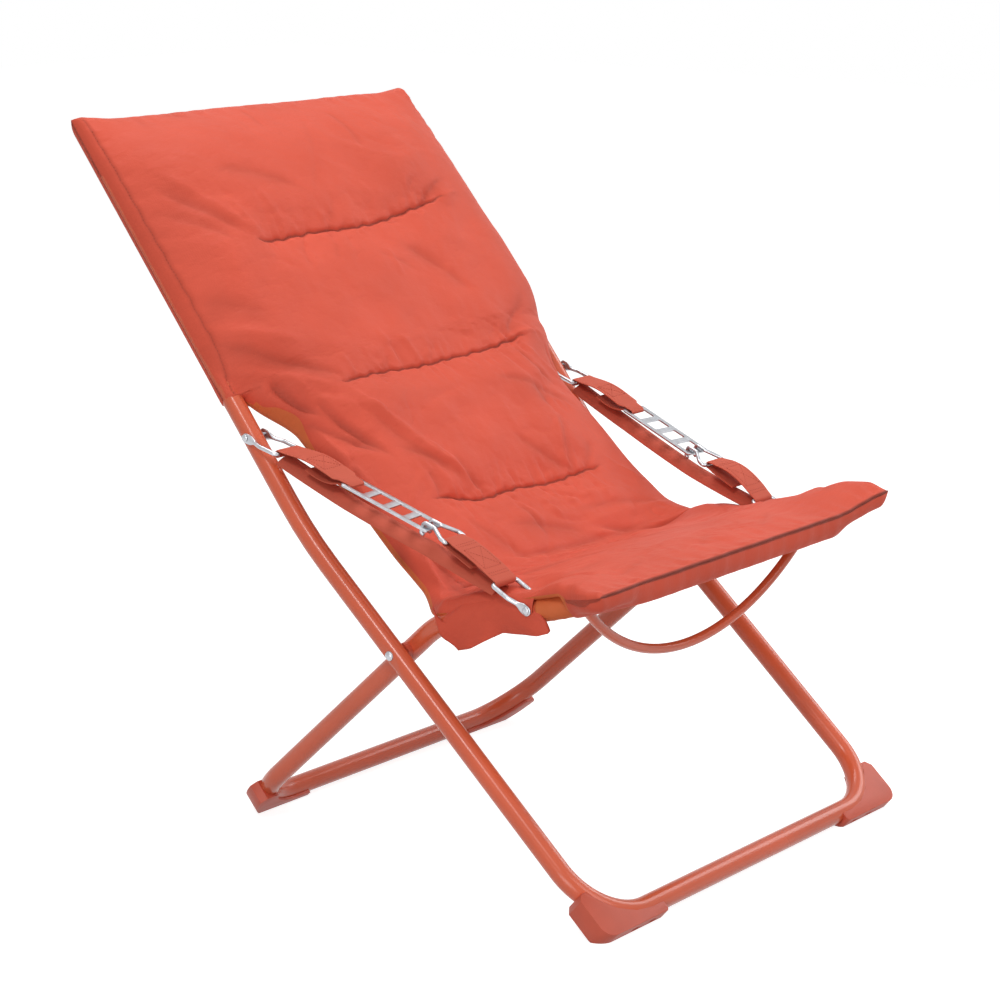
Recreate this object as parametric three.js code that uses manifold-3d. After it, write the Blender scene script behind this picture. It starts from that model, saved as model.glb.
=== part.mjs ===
// Padded folding relax chair: two crossing steel tube frames, a sling pad and adjustable strap arms.
// Units are millimetres, +Z is up, the floor is z = 0, X is the width and the sitter faces -Y.

import * as THREE from 'three';
import { mergeVertices } from 'three/addons/utils/BufferGeometryUtils.js';
import Module from 'manifold-3d';

const wasm = await Module();
wasm.setup();

// Angles and counts
const FULL_TURN = 2 * Math.PI;
const HALF = 0.5;
const HALF_TURN = FULL_TURN * HALF;
const QUARTER_TURN = HALF_TURN * HALF;
const SIDES = [-1, 1];
const SIDE_NAMES = { '-1': 'r', 1: 'l' };
const TUBE_FACETS = 16;
const BORE_FACETS = 10;
const WIRE_FACETS = 8;
const ROUND_FACETS = 18;
const TURN_STEP = THREE.MathUtils.degToRad(18);
const SHOE_SEGMENTS = 6;
const CORNER_SEGMENTS = 4;
const DOME_STEPS = 5;
const MERGE_DISTANCE = 0.0003;

// Steel tube of both frames
const TUBE_RADIUS = 12.5;
const TUBE_WALL = 1.3;
const RUNNING_GAP = 0.3;
const BUTT_SEAM = 0.6;
const SOLE = 3;

// Frame widths, measured between tube centres
const OUTER_WIDTH = 575;
const FRAME_STEP = 30;
const INNER_WIDTH = OUTER_WIDTH - 2 * FRAME_STEP;

// Side view of the outer frame: floor rail, knee and head rail as [y, z]
const OUTER_RAIL = [-213.4, TUBE_RADIUS + SOLE];
const OUTER_KNEE = [233.4, 393];
const OUTER_HEAD = [598, 841.4];
const OUTER_FLOOR_CORNER = 80;
const OUTER_KNEE_RADIUS = 500;
const OUTER_HEAD_CORNER = 60;

// Side view of the inner frame: floor rail, knee and seat rail as [y, z]
const INNER_RAIL = [373.2, TUBE_RADIUS + SOLE];
const INNER_KNEE = [49.5, 315.6];
const INNER_SEAT = [-190, 382];
const INNER_FLOOR_CORNER = 78;
const INNER_KNEE_RADIUS = 120;
const INNER_SEAT_CORNER = 120;

// Main pivot where the frames cross
const PIVOT = [93.5, 274.8];
const PIVOT_SHAFT = 4;
const PIVOT_HEAD = 6;
const PIVOT_DOME = 3.5;
const PIVOT_TAIL = 6;
const PIVOT_TAIL_LENGTH = 2.6;
const PRESSED_RADIUS = 10.5;
const PRESSED_HALF = 11;
const SPACER_RADIUS = 10;

// Bow under the front of the seat
const BOW_RADIUS = 6;
const BOW_WALL = 1;
const BOW_INSET = 33.5;
const BOW_HALF_SPAN = INNER_WIDTH * HALF - BOW_INSET;
const BOW_DROP = 99;
const BOW_TOP = [-133.5, 362.5];
const BOW_LEAN = THREE.MathUtils.degToRad(8);
const BOW_OVERRUN = 9;

// Moulded foot shoes
const SHOE_WALL = 3;
const SHOE_SIDE_WALL = 1.5;
const SHOE_FRONT_WALL = 6;
const SHOE_FACE = 11;
const SHOE_INSIDE = 4;
const FRONT_SHOE_CORNER = 18;
const REAR_SHOE_CORNER = 66;
const SHOE_LEG = 42;
const SHOE_TAPER = 8;
const FRONT_SHOE_REACH = 100;
const REAR_SHOE_REACH = 102;
const SHOE_SLOT_WIDTH = 12;
const SHOE_SLOT_HEIGHT = 5;
const SHOE_SLOT_DEPTH = 2.2;
const SHOE_SLOT_STARTS = [38, 70];

// Arm fittings, all [y, z] in side view
const REAR_BAIL_PIVOT = [318, 503];
const FRONT_BAIL_PIVOT = [-90, 357.5];
const FRONT_BAIL_INSET = 1.1;
const FRONT_BAIL_X = INNER_WIDTH * HALF - FRONT_BAIL_INSET;
const BAIL_WIRE = 2.5;
const BAIL_LENGTH = 52;
const BAIL_EYE_GAP = 2.6;
const BAIL_EYE_RADIUS = 6;
const BAIL_EYE_THICK = 2;
const BAIL_HALF_WIDTH = 20.5;
const BAIL_NECK = 12;
const BAIL_CORNER = 6;
const BAIL_RIVET = 2;
const BAIL_RIVET_HEAD = 4.5;
const BAIL_RIVET_DOME = 1.8;

// Adjuster ladder plate, its first bar and the step from bar to bar, given for the +X side
const LADDER_INSET = 13.5;
const LADDER_START = [OUTER_WIDTH * HALF - LADDER_INSET, 172, 464.7];
const LADDER_STEP = [-3.69, -27.72, -9.38];
const LADDER_SLOTS = 4;
const LADDER_BAR = 9.5;
const LADDER_RAIL = 6;
const LADDER_WIDTH = 38;
const LADDER_THICK = 2;
const LADDER_CORNER = 4;
const SLOT_CORNER = 2;

// Wire hook that drops into the last slot of the ladder
const HOOK_WIRE = 2.25;
const HOOK_LENGTH = 42;
const HOOK_HALF_WIDTH = 17;
const HOOK_TIP_HALF = 7.5;
const HOOK_TIP_DROP = 15;
const HOOK_FLAT = 15;
const HOOK_SHOULDER = 9;
const HOOK_BEND = 3.6;

// Arm strap
const STRAP_WIDTH = 38;
const STRAP_LOOP_WIDTH = 29;
const STRAP_LOOP_REACH = 11;
const STRAP_LADDER_WIDTH = 24.4;
const STRAP_NARROWING = 26;
const STRAP_THICK = 2.2;
const STRAP_SAG = 16;
const STRAP_LAP = 42;
const STRAP_GAP = 0.75;
const STRAP_TURNS = 8;
const STRAP_RUN = 12;
const LAP_DROP_SHARE = 2;
const BAR_RUN_SHARE = 1.6;
const SAG_SHARE = 4;
const SKEW_SHARE = 1.5;

// Pad: lining line in side view from the head to the front rail
const PAD_LINE = [
  [608, 853.8], [480.8, 697.3], [378.5, 571.5], [353.3, 540.4], [290, 485], [206, 424], [128, 358], [48, 311],
  [-25, 332], [-110, 358.5], [-196, 383],
];
const PAD_HEAD_COVER = 12.5;
const PAD_HEAD_HALF = OUTER_WIDTH * HALF + PAD_HEAD_COVER;
const PAD_WAIST_INSET = 37.5;
const PAD_WAIST_HALF = OUTER_WIDTH * HALF - PAD_WAIST_INSET;
const PAD_ARM_INSET = 29.5;
const PAD_ARM_HALF = INNER_WIDTH * HALF - PAD_ARM_INSET;
const PAD_FRONT_COVER = 8.5;
const PAD_FRONT_HALF = INNER_WIDTH * HALF + PAD_FRONT_COVER;
const PAD_OVER_TUBE = 13.6;
const PAD_BELLY = -4;
const PAD_CROWN = 68;
const PAD_EDGE = 26;
const PAD_SLEEVE_EDGE = 12;
const PAD_FRONT_CROWN = 40;
const PAD_BULGE = 5;
const TUFT_DEPTH = 12;
const TUFT_SPREAD = 17;
const TUFT_SHARE = 0.74;
const TUFT_FADE_SHARE = 1.3;
const TUFT_ROWS = [-2, -1, 0, 1, 2];
const TUFT_ROW_SHARE = 0.8;
const PAD_SEAM_GAP = 0.6;
const PAD_ROW = 46;
const PAD_ROW_EDGE = 1;
const LEAST_ROW_SHARE = 0.4;

// Pad stations, measured along the lining line from its head end
const SLEEVE_END = 404;
const SLEEVE_RUNOUT = 42;
const TUFTS = [212, 438, 636];
const CROWN_FALL_START = 470;
const CROWN_FALL_END = 640;
const BACK_PAD_END = 545;
const SEAT_PAD_START = 806;
const ARM_CUT_START = 668;
const ARM_CUT_END = 990;
const ARM_CUT_RUNOUT = 26;
const FRONT_OVER_TUBE = 140;
const HEAD_ROUNDING = 120;
const HEAD_EDGE_SHARE = 0.12;
const HEAD_POWER = 2.4;
const HEAD_ROW_SHARES = [0.12, 0.4];
const HEAD_OVER_SHARE = 1.6;
const HEAD_OVER_TUBE = OUTER_HEAD_CORNER * HEAD_OVER_SHARE;
const FRONT_ROUNDING = 34;
const FRONT_EDGE_SHARE = 0.6;
const FRONT_ROW_SHARES = [0.3, 1];
const PAD_COLUMN_SHARES = [-1, -0.95, -0.9, -0.84, -0.56, -0.28, 0, 0.28, 0.56, 0.84, 0.9, 0.95, 1];
const TUBE_COLUMN_SHARE = 0.9;
const CROWN_POWER = 6.5;

// Paint and finish
const CORAL = 0xd9634a;
const PAINT = { color: CORAL, metalness: 0.1, roughness: 0.3 };
const MOULDING = { color: CORAL, metalness: 0, roughness: 0.6 };
const CLOTH = { color: 0xd8624c, metalness: 0, roughness: 0.8 };
const WEBBING = { color: 0xcf5a45, metalness: 0, roughness: 0.8 };
const ZINC = { color: 0xc9ccd0, metalness: 0.9, roughness: 0.35 };

const vec = (x, y, z) => new THREE.Vector3(x, y, z);
const sideName = (side) => SIDE_NAMES[side];

/* Manifold helpers */

function toManifold(geometry) {
  const bare = geometry.clone();
  bare.deleteAttribute('normal');
  bare.deleteAttribute('uv');
  const merged = mergeVertices(bare, MERGE_DISTANCE);
  const mesh = new wasm.Mesh({
    numProp: 3,
    vertProperties: new Float32Array(merged.attributes.position.array),
    triVerts: new Uint32Array(merged.index.array),
  });
  return new wasm.Manifold(mesh);
}

function toGeometry(solid) {
  const mesh = solid.getMesh();
  const geometry = new THREE.BufferGeometry();
  geometry.setAttribute('position', new THREE.BufferAttribute(new Float32Array(mesh.vertProperties), 3));
  geometry.setIndex(new THREE.BufferAttribute(new Uint32Array(mesh.triVerts), 1));
  return geometry;
}

function cylinderAlongX(radius, fromX, toX, y, z) {
  const geometry = new THREE.CylinderGeometry(radius, radius, toX - fromX, ROUND_FACETS);
  geometry.rotateZ(QUARTER_TURN);
  geometry.translate((fromX + toX) * HALF, y, z);
  return toManifold(geometry);
}

/* Bent centre lines */

// A centre line that hands its own points and directions to the extrusion
class BentLine extends THREE.Curve {
  constructor(points, tangents) {
    super();
    this.points = points;
    this.tangents = tangents;
  }

  getSpacedPoints() {
    return this.points;
  }

  getTangentAt(share) {
    const index = Math.round(share * (this.tangents.length - 1));
    return this.tangents[index].clone();
  }
}

// Corners with radii become arcs; the ends stay where they are
function bentLine(corners, radii) {
  const points = [corners[0].clone()];
  const tangents = [corners[1].clone().sub(corners[0]).normalize()];
  for (let i = 1; i < corners.length - 1; i += 1) {
    const before = corners[i].clone().sub(corners[i - 1]).normalize();
    const after = corners[i + 1].clone().sub(corners[i]).normalize();
    const turn = before.angleTo(after);
    const axis = before.clone().cross(after).normalize();
    const inward = axis.clone().cross(before).normalize();
    const start = corners[i].clone().addScaledVector(before, -radii[i] * Math.tan(turn * HALF));
    const centre = start.clone().addScaledVector(inward, radii[i]);
    const steps = Math.max(2, Math.ceil(turn / TURN_STEP));
    for (let k = 0; k <= steps; k += 1) {
      const spoke = inward.clone().negate().applyAxisAngle(axis, (turn * k) / steps);
      points.push(centre.clone().addScaledVector(spoke, radii[i]));
      tangents.push(before.clone().applyAxisAngle(axis, (turn * k) / steps));
    }
  }
  const last = corners.length - 1;
  points.push(corners[last].clone());
  tangents.push(corners[last].clone().sub(corners[last - 1]).normalize());
  return new BentLine(points, tangents);
}

function circlePoints(radius, facets) {
  const points = [];
  for (let i = 0; i < facets; i += 1) {
    const angle = (FULL_TURN * i) / facets;
    points.push(new THREE.Vector2(radius * Math.cos(angle), radius * Math.sin(angle)));
  }
  return points;
}

function sweep(line, radius, boreRadius, facets) {
  const section = new THREE.Shape(circlePoints(radius, facets));
  if (boreRadius > 0) {
    section.holes.push(new THREE.Path(circlePoints(boreRadius, BORE_FACETS)));
  }
  const geometry = new THREE.ExtrudeGeometry(section, { steps: line.points.length - 1, extrudePath: line });
  return toManifold(geometry);
}

/* Frames */

// A frame is one closed loop of tube whose two ends meet in the middle of its top rail
function frameCorners(topRail, knee, floorRail, width) {
  const half = width * HALF;
  const seam = BUTT_SEAM * HALF;
  return [
    vec(seam, ...topRail), vec(half, ...topRail), vec(half, ...knee), vec(half, ...floorRail),
    vec(-half, ...floorRail), vec(-half, ...knee), vec(-half, ...topRail), vec(-seam, ...topRail),
  ];
}

function frameLine(topRail, knee, floorRail, width, radii) {
  const [top, middle, floor] = radii;
  return bentLine(frameCorners(topRail, knee, floorRail, width), [0, top, middle, floor, floor, middle, top, 0]);
}

const outerLine = frameLine(OUTER_HEAD, OUTER_KNEE, OUTER_RAIL, OUTER_WIDTH,
  [OUTER_HEAD_CORNER, OUTER_KNEE_RADIUS, OUTER_FLOOR_CORNER]);
const innerLine = frameLine(INNER_SEAT, INNER_KNEE, INNER_RAIL, INNER_WIDTH,
  [INNER_SEAT_CORNER, INNER_KNEE_RADIUS, INNER_FLOOR_CORNER]);

// The tube is pressed flat round the pivot rivet and drilled for it
function pressPivot(frame, centreX) {
  const pressed = cylinderAlongX(PRESSED_RADIUS, centreX - PRESSED_HALF, centreX + PRESSED_HALF, ...PIVOT);
  const outside = cylinderAlongX(PRESSED_RADIUS, centreX + PRESSED_HALF, centreX + TUBE_RADIUS + SOLE, ...PIVOT);
  const inside = cylinderAlongX(PRESSED_RADIUS, centreX - TUBE_RADIUS - SOLE, centreX - PRESSED_HALF, ...PIVOT);
  return frame.add(pressed).subtract(outside).subtract(inside);
}

function makeFrame(line, width, bailX, bailPivot) {
  let frame = sweep(line, TUBE_RADIUS, TUBE_RADIUS - TUBE_WALL, TUBE_FACETS);
  const reach = TUBE_RADIUS + SOLE;
  for (const side of SIDES) {
    const centreX = side * width * HALF;
    frame = pressPivot(frame, centreX);
    frame = frame.subtract(cylinderAlongX(PIVOT_SHAFT + RUNNING_GAP, centreX - reach, centreX + reach, ...PIVOT));
    const rivetX = side * bailX;
    frame = frame.subtract(cylinderAlongX(BAIL_RIVET + RUNNING_GAP, rivetX - reach, rivetX + reach, ...bailPivot));
  }
  return frame;
}

// Thin bow hung under the seat, its ends cut to the side tubes that they are welded to
function makeBow() {
  const radius = (BOW_HALF_SPAN ** 2 + BOW_DROP ** 2) / (2 * BOW_DROP);
  const reach = Math.asin(BOW_HALF_SPAN / radius) + BOW_OVERRUN / radius;
  const steps = Math.ceil(2 * reach / (TURN_STEP * HALF));
  const points = [];
  const tangents = [];
  for (let i = 0; i <= steps; i += 1) {
    const angle = -reach + (2 * reach * i) / steps;
    const hang = BOW_DROP - radius + radius * Math.cos(angle);
    points.push(vec(radius * Math.sin(angle), BOW_TOP[0] + hang * Math.sin(BOW_LEAN),
      BOW_TOP[1] - hang * Math.cos(BOW_LEAN)));
    tangents.push(vec(Math.cos(angle), -Math.sin(angle) * Math.sin(BOW_LEAN),
      Math.sin(angle) * Math.cos(BOW_LEAN)));
  }
  const bow = sweep(new BentLine(points, tangents), BOW_RADIUS, BOW_RADIUS - BOW_WALL, BORE_FACETS);
  const tubes = sweep(innerLine, TUBE_RADIUS + RUNNING_GAP, 0, TUBE_FACETS);
  const cut = bow.subtract(tubes).decompose();
  return cut.reduce((largest, piece) => (piece.volume() > largest.volume() ? piece : largest));
}

/* Pivot rivets and spacers */

// Half section of a rivet: shaft on the axis, dome head at one end, flat head at the other
function rivetProfile(shaft, length, head, dome, tail, tailLength) {
  const points = [new THREE.Vector2(0, -tailLength), new THREE.Vector2(tail, -tailLength)];
  points.push(new THREE.Vector2(tail, 0), new THREE.Vector2(shaft, 0), new THREE.Vector2(shaft, length));
  for (let i = 0; i <= DOME_STEPS; i += 1) {
    const angle = QUARTER_TURN * (i / DOME_STEPS);
    points.push(new THREE.Vector2(head * Math.cos(angle), length + dome * Math.sin(angle)));
  }
  points[points.length - 1].x = 0;
  return points;
}

// The rivet's axis runs along X and its dome faces away from the middle of the chair
function placeRivet(profile, side, startX, y, z) {
  const geometry = new THREE.LatheGeometry(profile, ROUND_FACETS);
  geometry.rotateZ(-side * QUARTER_TURN);
  geometry.translate(side * startX, y, z);
  return toManifold(geometry);
}

function makePivotRivet(side) {
  const start = INNER_WIDTH * HALF - PRESSED_HALF - RUNNING_GAP;
  const end = OUTER_WIDTH * HALF + PRESSED_HALF + RUNNING_GAP;
  const profile = rivetProfile(PIVOT_SHAFT, end - start, PIVOT_HEAD, PIVOT_DOME, PIVOT_TAIL, PIVOT_TAIL_LENGTH);
  return placeRivet(profile, side, start, ...PIVOT);
}

function makeSpacer(side) {
  const start = INNER_WIDTH * HALF + PRESSED_HALF + RUNNING_GAP;
  const end = OUTER_WIDTH * HALF - PRESSED_HALF - RUNNING_GAP;
  const low = Math.min(side * start, side * end);
  const high = Math.max(side * start, side * end);
  const ring = cylinderAlongX(SPACER_RADIUS, low, high, ...PIVOT);
  return ring.subtract(cylinderAlongX(PIVOT_SHAFT + RUNNING_GAP, low - SOLE, high + SOLE, ...PIVOT));
}

/* Foot shoes */

// Outline in the plane of the frame for the +X corner: u across from the middle, v up the leg
function shoeShape(width, cornerRadius, cornerRound, reach) {
  const side = width * HALF;
  const outerU = side + TUBE_RADIUS + SHOE_SIDE_WALL;
  const outerV = -TUBE_RADIUS - SHOE_FRONT_WALL;
  const tipU = side - reach;
  const cornerV = outerV + cornerRound;
  const turnEnd = Math.asin(Math.min((SHOE_LEG - SHOE_TAPER - cornerV) / cornerRound, 0));
  const shape = new THREE.Shape();
  shape.moveTo(tipU + SHOE_WALL, outerV);
  shape.lineTo(outerU - cornerRound, outerV);
  shape.absarc(outerU - cornerRound, cornerV, cornerRound, -QUARTER_TURN, turnEnd, false);
  shape.lineTo(outerU - cornerRound * (1 - Math.cos(turnEnd)), SHOE_LEG - SHOE_TAPER);
  shape.lineTo(outerU - SHOE_TAPER, SHOE_LEG);
  const insideRadius = cornerRadius - SHOE_INSIDE;
  const lift = Math.asin((cornerRadius - SHOE_LEG) / insideRadius);
  shape.absarc(side - cornerRadius, cornerRadius, insideRadius, -lift, -QUARTER_TURN, true);
  shape.lineTo(tipU + SHOE_WALL, SHOE_INSIDE);
  shape.lineTo(tipU, SHOE_INSIDE - SHOE_WALL);
  shape.lineTo(tipU, outerV + SHOE_WALL);
  shape.closePath();
  return shape;
}

// The shoe lies in its frame's lower plane, is grooved for the tube and cut flat by the floor
function makeShoe(side, frame, line) {
  const thick = TUBE_RADIUS + SHOE_WALL + SHOE_FACE;
  const shape = shoeShape(frame.width, frame.corner, frame.round, frame.reach);
  const options = { depth: thick, bevelEnabled: false, curveSegments: SHOE_SEGMENTS };
  const geometry = new THREE.ExtrudeGeometry(shape, options);
  const up = Math.atan2(frame.knee[1] - frame.rail[1], Math.abs(frame.knee[0] - frame.rail[0]));
  const away = Math.sign(frame.knee[0] - frame.rail[0]);
  const along = vec(0, away * Math.cos(up), Math.sin(up));
  const normal = vec(0, -away * Math.sin(up), Math.cos(up));
  geometry.translate(0, 0, -TUBE_RADIUS - SHOE_WALL);
  const across = along.clone().cross(normal);
  const mirror = Math.sign(across.x);
  geometry.applyMatrix4(new THREE.Matrix4().makeBasis(across.multiplyScalar(mirror), along, normal));
  if (mirror < 0) {
    flipFaces(geometry);
  }
  geometry.translate(0, ...frame.rail);
  let shoe = toManifold(geometry);
  for (const slotStart of SHOE_SLOT_STARTS) {
    shoe = shoe.subtract(shoeSlot(frame, along, normal, slotStart));
  }
  if (side < 0) {
    shoe = shoe.scale([-1, 1, 1]);
  }
  const tube = sweep(line, TUBE_RADIUS + RUNNING_GAP, 0, TUBE_FACETS);
  const floorBox = new THREE.BoxGeometry(frame.width * 2, frame.width, frame.width);
  floorBox.translate(0, frame.rail[0], -frame.width * HALF);
  const trimmed = shoe.subtract(tube).subtract(toManifold(floorBox)).decompose();
  return trimmed.reduce((largest, piece) => (piece.volume() > largest.volume() ? piece : largest));
}

// Shallow window in the shoe's front band
function shoeSlot(frame, along, normal, slotStart) {
  const box = new THREE.BoxGeometry(SHOE_SLOT_WIDTH, SHOE_SLOT_DEPTH * 2, SHOE_SLOT_HEIGHT);
  const across = along.clone().cross(normal);
  box.applyMatrix4(new THREE.Matrix4().makeBasis(across, along, normal));
  const centreU = frame.width * HALF - slotStart - SHOE_SLOT_WIDTH * HALF;
  const place = along.clone().multiplyScalar(-TUBE_RADIUS - SHOE_FRONT_WALL);
  box.translate(centreU, frame.rail[0] + place.y, frame.rail[1] + place.z);
  return toManifold(box);
}

function flipFaces(geometry) {
  const flat = geometry.index ? geometry.toNonIndexed() : geometry;
  const position = flat.attributes.position;
  for (let i = 0; i < position.count; i += 3) {
    const held = vec(position.getX(i), position.getY(i), position.getZ(i));
    position.setXYZ(i, position.getX(i + 1), position.getY(i + 1), position.getZ(i + 1));
    position.setXYZ(i + 1, held.x, held.y, held.z);
  }
  return flat;
}

/* Arm fittings, laid out for the +X side */

const armX = new THREE.Vector3(...LADDER_STEP).normalize();
const ladderStart = new THREE.Vector3(...LADDER_START);
const ladderStep = new THREE.Vector3(...LADDER_STEP);
const ladderEnd = ladderStart.clone().addScaledVector(ladderStep, LADDER_SLOTS);
const ladderAcross = vec(armX.y, -armX.x, 0).normalize().negate();
const ladderUp = ladderAcross.clone().cross(armX).normalize();
if (ladderUp.z < 0) {
  ladderUp.negate();
}

const rearPivot = vec(OUTER_WIDTH * HALF, ...REAR_BAIL_PIVOT);
const frontPivot = vec(FRONT_BAIL_X, ...FRONT_BAIL_PIVOT);
const rearAim = ladderStart.clone().sub(rearPivot).normalize();
const rearLoop = rearPivot.clone().addScaledVector(rearAim, BAIL_LENGTH);

const hookBack = LADDER_BAR * HALF + HOOK_WIRE + STRAP_GAP;
const hookLift = LADDER_THICK * HALF + HOOK_WIRE + STRAP_GAP;
const hookBend = ladderEnd.clone().addScaledVector(armX, -hookBack).addScaledVector(ladderUp, hookLift);
const hookKnee = hookBend.clone().addScaledVector(armX, HOOK_FLAT);
const hookAim = frontPivot.clone().sub(hookKnee).normalize();
const hookLoop = hookKnee.clone().addScaledVector(hookAim, HOOK_LENGTH - HOOK_FLAT);
const frontAim = hookLoop.clone().sub(frontPivot).normalize();
const frontLoop = frontPivot.clone().addScaledVector(frontAim, BAIL_LENGTH);

function makeBail(pivot, aim) {
  const eyeX = TUBE_RADIUS + BAIL_EYE_GAP;
  const wireX = eyeX + BAIL_WIRE;
  const at = (across, out) => pivot.clone().addScaledVector(aim, out).add(vec(across, 0, 0));
  const corners = [
    at(wireX, 0), at(wireX, BAIL_NECK), at(BAIL_HALF_WIDTH, BAIL_NECK * 2), at(BAIL_HALF_WIDTH, BAIL_LENGTH),
    at(-BAIL_HALF_WIDTH, BAIL_LENGTH), at(-BAIL_HALF_WIDTH, BAIL_NECK * 2), at(-wireX, BAIL_NECK), at(-wireX, 0),
  ];
  const radii = corners.map((corner, i) => (i === 0 || i === corners.length - 1 ? 0 : BAIL_CORNER));
  const line = bentLine(corners, radii);
  let bail = sweep(line, BAIL_WIRE, 0, WIRE_FACETS);
  for (const end of SIDES) {
    const low = pivot.x + (end > 0 ? eyeX : -eyeX - BAIL_WIRE * 2);
    const high = low + BAIL_WIRE * 2;
    const plate = pivot.x + (end > 0 ? eyeX : -eyeX - BAIL_EYE_THICK);
    bail = bail.subtract(cylinderAlongX(BAIL_EYE_RADIUS, low - SOLE * HALF, high + SOLE * HALF, pivot.y, pivot.z));
    bail = bail.add(cylinderAlongX(BAIL_EYE_RADIUS + STRAP_GAP, plate, plate + BAIL_EYE_THICK, pivot.y, pivot.z));
    bail = bail.subtract(cylinderAlongX(BAIL_RIVET + RUNNING_GAP, low - SOLE, high + SOLE, pivot.y, pivot.z));
  }
  return bail;
}

function makeBailRivet(pivot) {
  const half = TUBE_RADIUS + BAIL_EYE_GAP + BAIL_EYE_THICK + RUNNING_GAP;
  const profile = rivetProfile(BAIL_RIVET, 2 * half, BAIL_RIVET_HEAD, BAIL_RIVET_DOME,
    BAIL_RIVET_HEAD, BAIL_RIVET_DOME);
  return placeRivet(profile, 1, pivot.x - half, pivot.y, pivot.z);
}

function roundedRectangle(shape, low, high, radius) {
  shape.moveTo(low.x + radius, low.y);
  shape.lineTo(high.x - radius, low.y);
  shape.absarc(high.x - radius, low.y + radius, radius, -QUARTER_TURN, 0, false);
  shape.lineTo(high.x, high.y - radius);
  shape.absarc(high.x - radius, high.y - radius, radius, 0, QUARTER_TURN, false);
  shape.lineTo(low.x + radius, high.y);
  shape.absarc(low.x + radius, high.y - radius, radius, QUARTER_TURN, HALF_TURN, false);
  shape.lineTo(low.x, low.y + radius);
  shape.absarc(low.x + radius, low.y + radius, radius, HALF_TURN, HALF_TURN + QUARTER_TURN, false);
  return shape;
}

// Flat plate with one slot between each pair of bars
function makeLadder() {
  const pitch = ladderStep.length();
  const half = LADDER_WIDTH * HALF;
  const bar = LADDER_BAR * HALF;
  const plate = roundedRectangle(new THREE.Shape(), new THREE.Vector2(-half, -bar),
    new THREE.Vector2(half, LADDER_SLOTS * pitch + bar), LADDER_CORNER);
  for (let i = 0; i < LADDER_SLOTS; i += 1) {
    const low = new THREE.Vector2(-half + LADDER_RAIL, i * pitch + bar);
    const high = new THREE.Vector2(half - LADDER_RAIL, (i + 1) * pitch - bar);
    plate.holes.push(roundedRectangle(new THREE.Path(), low, high, SLOT_CORNER));
  }
  const options = { depth: LADDER_THICK, bevelEnabled: false, curveSegments: CORNER_SEGMENTS };
  const geometry = new THREE.ExtrudeGeometry(plate, options);
  geometry.translate(0, 0, -LADDER_THICK * HALF);
  geometry.applyMatrix4(new THREE.Matrix4().makeBasis(armX.clone().cross(ladderUp), armX, ladderUp));
  geometry.translate(ladderStart.x, ladderStart.y, ladderStart.z);
  return toManifold(geometry);
}

// One bent wire: two tips down through the slot, a shoulder and a wide loop for the strap
function makeHook() {
  const across = ladderAcross;
  const shift = (point, amount) => point.clone().addScaledVector(across, amount);
  const tip = hookBend.clone().addScaledVector(ladderUp, -HOOK_TIP_DROP);
  const shoulder = hookLoop.clone().addScaledVector(hookAim, -HOOK_SHOULDER);
  const half = [
    shift(tip, HOOK_TIP_HALF), shift(hookBend, HOOK_TIP_HALF), shift(hookKnee, HOOK_TIP_HALF),
    shift(shoulder, HOOK_HALF_WIDTH), shift(hookLoop, HOOK_HALF_WIDTH),
  ];
  const other = half.map((point) => {
    const offset = point.clone().sub(tip).dot(across);
    return point.clone().addScaledVector(across, -2 * offset);
  }).reverse();
  const radii = [0, HOOK_BEND, HOOK_BEND, HOOK_BEND, HOOK_BEND, HOOK_BEND, HOOK_BEND, HOOK_BEND, HOOK_BEND, 0];
  return sweep(bentLine([...half, ...other], radii), HOOK_WIRE, 0, WIRE_FACETS);
}

/* Arm strap: one band whose side view is offset both ways and cut to its width */

function flat(point) {
  return new THREE.Vector2(point.y, point.z);
}

function arcPoints(centre, radius, fromAngle, toAngle) {
  const points = [];
  for (let i = 0; i <= STRAP_TURNS; i += 1) {
    const angle = fromAngle + ((toAngle - fromAngle) * i) / STRAP_TURNS;
    points.push(new THREE.Vector2(centre.x + radius * Math.cos(angle), centre.y + radius * Math.sin(angle)));
  }
  return points;
}

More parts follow.
